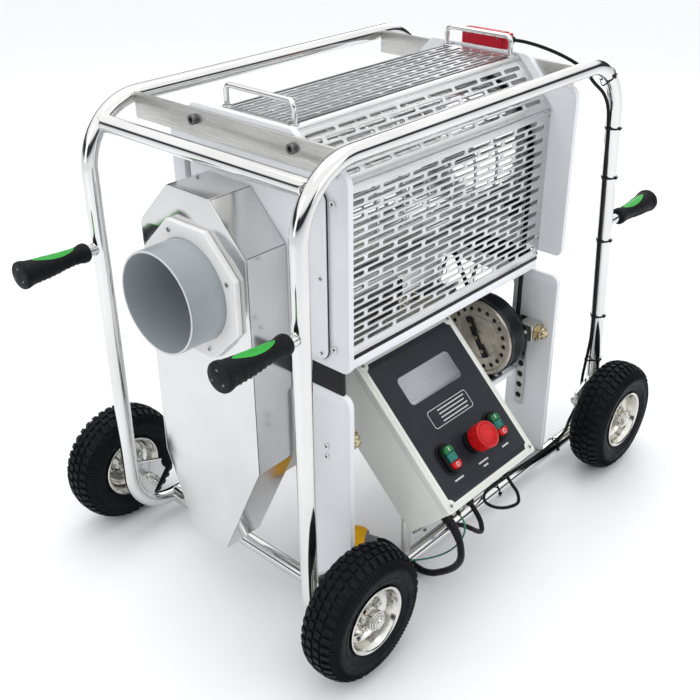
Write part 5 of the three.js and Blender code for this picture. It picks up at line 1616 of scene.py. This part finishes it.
def interlock_cable():
    """The cable from the lid switch, tied inside the far front leg, and up to its gland."""
    Piece("interlock_lead").put(tube(smooth(INTERLOCK_ROUTE, 360), 0.0035, 16), JACKET).make(
        "frame", "interlock_cable", slot="cable")
    ties, fine, grip = Piece("cable_ties"), smooth(INTERLOCK_ROUTE, 720), 0.0036
    lean = Vector((FAR_TOP - FAR_LOW, 0, LOOP_TOP - LOOP_LOW))
    for z in (0.8, 0.69, 0.54, 0.345, 0.225):
        centre = Vector((leg_x(1, z), -LOOP_Y, z))
        spot = min(fine, key=lambda p: abs(p.z - z) + (1 if p.x < 0.3 else 0))
        tie_band(ties, centre, lean, LOOP_R, spot, grip)
    for x in (0.34, 0.1):
        spot = min(fine, key=lambda p: abs(p.x - x) + (1 if p.z > 0.2 else 0))
        tie_band(ties, (x, -LOOP_Y, LOOP_LOW), (1, 0, 0), LOOP_R, spot, grip)
    bend = Vector((FAR_TOP_BEND_X, -LOOP_Y, LOOP_TOP - TOP_BEND))
    turn = math.radians(52)
    out = Vector((math.cos(turn), 0, math.sin(turn)))
    spot = bend + out * (TOP_BEND - LOOP_R - 0.0042)
    tie_band(ties, bend + out * TOP_BEND, (-math.sin(turn), 0, math.cos(turn)), LOOP_R, spot, grip)
    ties.make("frame")


def plug():
    """A large yellow plug: grey boot, ribbed body, grip ring, grey face and three blades let in."""
    heading = math.radians(116)
    end = Vector(POWER_ROUTE[-1])
    way = Vector((math.cos(heading), math.sin(heading), 0))
    start = end + way * 0.0009
    place = Matrix.Translation(start) @ Vector((0, 0, 1)).rotation_difference(way).to_matrix().to_4x4()
    piece = Piece("yellow_plug")
    boot = [(0.0072, 0.0002), (0.0085, 0.0002, 0.0006)]
    for k in range(4):
        a, r = 0.003 + 0.0042 * k, 0.0088 + 0.0005 * k
        boot += [(r, a, 0.0005), (r, a + 0.0022, 0.0005), (r - 0.0012, a + 0.0026, 0.0003),
                 (r - 0.0012, a + 0.0038, 0.0003)]
    boot += [(0.011, 0.02, 0.0008), (0.018, 0.0228, 0.001), (0.018, 0.026), (0.0072, 0.026)]
    piece.put(lathe(boot, 48), GREY_RUBBER, place)
    body = [(TIP, 0.024), (0.0198, 0.024, 0.0012), (0.0238, 0.034, 0.004), (0.0238, 0.062, 0.001),
            (0.0252, 0.066, 0.001), (0.0252, 0.0896, 0.0014), (0.0215, 0.0904, 0.0008), (0.021, 0.089),
            (TIP, 0.089)]
    piece.put(lathe(body, 72), YELLOW, place)
    for k in range(26):
        turn = place @ spin(2 * math.pi * k / 26)
        piece.put(brick((0.0245, -0.0012, 0.0672), (0.026, 0.0012, 0.0888), 0.0006, 2), YELLOW, turn)
    for k in range(6):
        turn = place @ spin(2 * math.pi * (k + 0.5) / 6)
        piece.put(brick((0.0228, -0.0034, 0.036), (0.024, 0.0034, 0.06), 0.0006, 2), YELLOW, turn)
    piece.put(lathe([(TIP, 0.088), (0.0208, 0.088), (0.0206, 0.092, 0.0008), (0.0196, 0.0936, 0.0008),
                     (TIP, 0.0938)], 56), GREY_RUBBER, place)
    for k in range(3):
        turn = place @ spin(2 * math.pi * k / 3)
        piece.put(brick((0.008, -0.0026, 0.0925), (0.0102, 0.0026, 0.0941), 0.0004, 1), BRASS, turn)
    return piece.make("frame", "power_plug", slot="yellow")


control_box()
control_lid()
switches()
interlock()
interlock_cable()
PLUG = plug()


def cords():
    """The free cords: mains lead to the plug, motor lead and earth wire back to the frame's tube."""
    for name, route, length, diameter, node, end, look, slot in (
        ("mains_lead", POWER_ROUTE, 0.39, 0.014, "power_cord", "plug", JACKET, "cable"),
        ("motor_lead", MOTOR_ROUTE, 0.219, 0.01, "motor_cable", "object", JACKET, "cable"),
        ("earth_lead", EARTH_ROUTE, 0.217, 0.0036, "earth_wire", "object", EARTH_GREEN, "earth"),
    ):
        path, foremost = smooth(route, CORD_STEPS), min(y for _, y, _ in route)
        for spot in path:
            spot.y = max(spot.y, foremost)
        lead = Piece(name).put(tube(path, diameter / 2, 24), look).make("frame", node, slot=slot)


cords()


# ---- studio --------------------------------------------------------------------------------------
def studio():
    """A pale floor, an even sky with a dark band that metals mirror, and large soft lamps."""
    mesh = bpy.data.meshes.new("floor")
    far = 16
    mesh.from_pydata([(-far, -far, 0), (far, -far, 0), (far, far, 0), (-far, far, 0)], [], [(0, 1, 2, 3)])
    floor = bpy.data.objects.new("floor", mesh)
    bpy.context.scene.collection.objects.link(floor)
    mesh.materials.append(coated("pale_floor", (0.91, 0.915, 0.93), 0.55, 1.0, 120, 0.00002, 0.99))

    world = bpy.data.worlds.new("studio")
    bpy.context.scene.world = world
    world.use_nodes = True
    nodes, links = world.node_tree.nodes, world.node_tree.links
    coords, split = nodes.new("ShaderNodeTexCoord"), nodes.new("ShaderNodeSeparateXYZ")
    ramp = nodes.new("ShaderNodeValToRGB")
    links.new(coords.outputs["Generated"], split.inputs[0])
    links.new(split.outputs["Z"], ramp.inputs[0])
    stops = ramp.color_ramp.elements
    stops[0].position, stops[0].color = 0.02, (0.55, 0.56, 0.58, 1)
    stops[1].position, stops[1].color = 0.46, (1.0, 1.0, 1.0, 1)
    for spot, level in ((0.07, 0.02), (0.3, 0.03), (0.36, 0.75)):
        stops.new(spot).color = (level, level, level * 1.1, 1)
    # The dark band only shades reflections: looked at straight, the backdrop is one plain pale grey.
    rays, seen = nodes.new("ShaderNodeLightPath"), nodes.new("ShaderNodeMixRGB")
    links.new(rays.outputs["Is Camera Ray"], seen.inputs["Fac"])
    links.new(ramp.outputs[0], seen.inputs["Color1"])
    seen.inputs["Color2"].default_value = (0.8, 0.8, 0.81, 1)
    background = nodes["Background"]
    links.new(seen.outputs[0], background.inputs[0])
    background.inputs[1].default_value = SKY

    for name, spot, target, size, power in LAMPS:
        lamp = bpy.data.lights.new(name, "AREA")
        lamp.shape, lamp.size, lamp.size_y = "RECTANGLE", *size
        lamp.energy = power
        holder = bpy.data.objects.new(name, lamp)
        holder.location = spot
        holder.rotation_mode = "QUATERNION"
        holder.rotation_quaternion = (Vector(target) - Vector(spot)).to_track_quat("-Z", "Y")
        bpy.context.scene.collection.objects.link(holder)
    bpy.context.scene.view_settings.view_transform = "Standard"


SKY = 1.22
LAMPS = (
    ("top", (0.2, 0.3, 3.6), (0, 0, 0.3), (3.0, 3.0), 26),
    ("left", (-3.2, 0.4, 1.9), (0, 0, 0.5), (1.2, 2.6), 15),
    ("front", (0.6, -3.3, 1.7), (0, 0, 0.5), (2.0, 1.4), 12),
    ("right", (3.0, 1.4, 2.0), (0, 0, 0.5), (1.4, 2.2), 12),
)
studio()
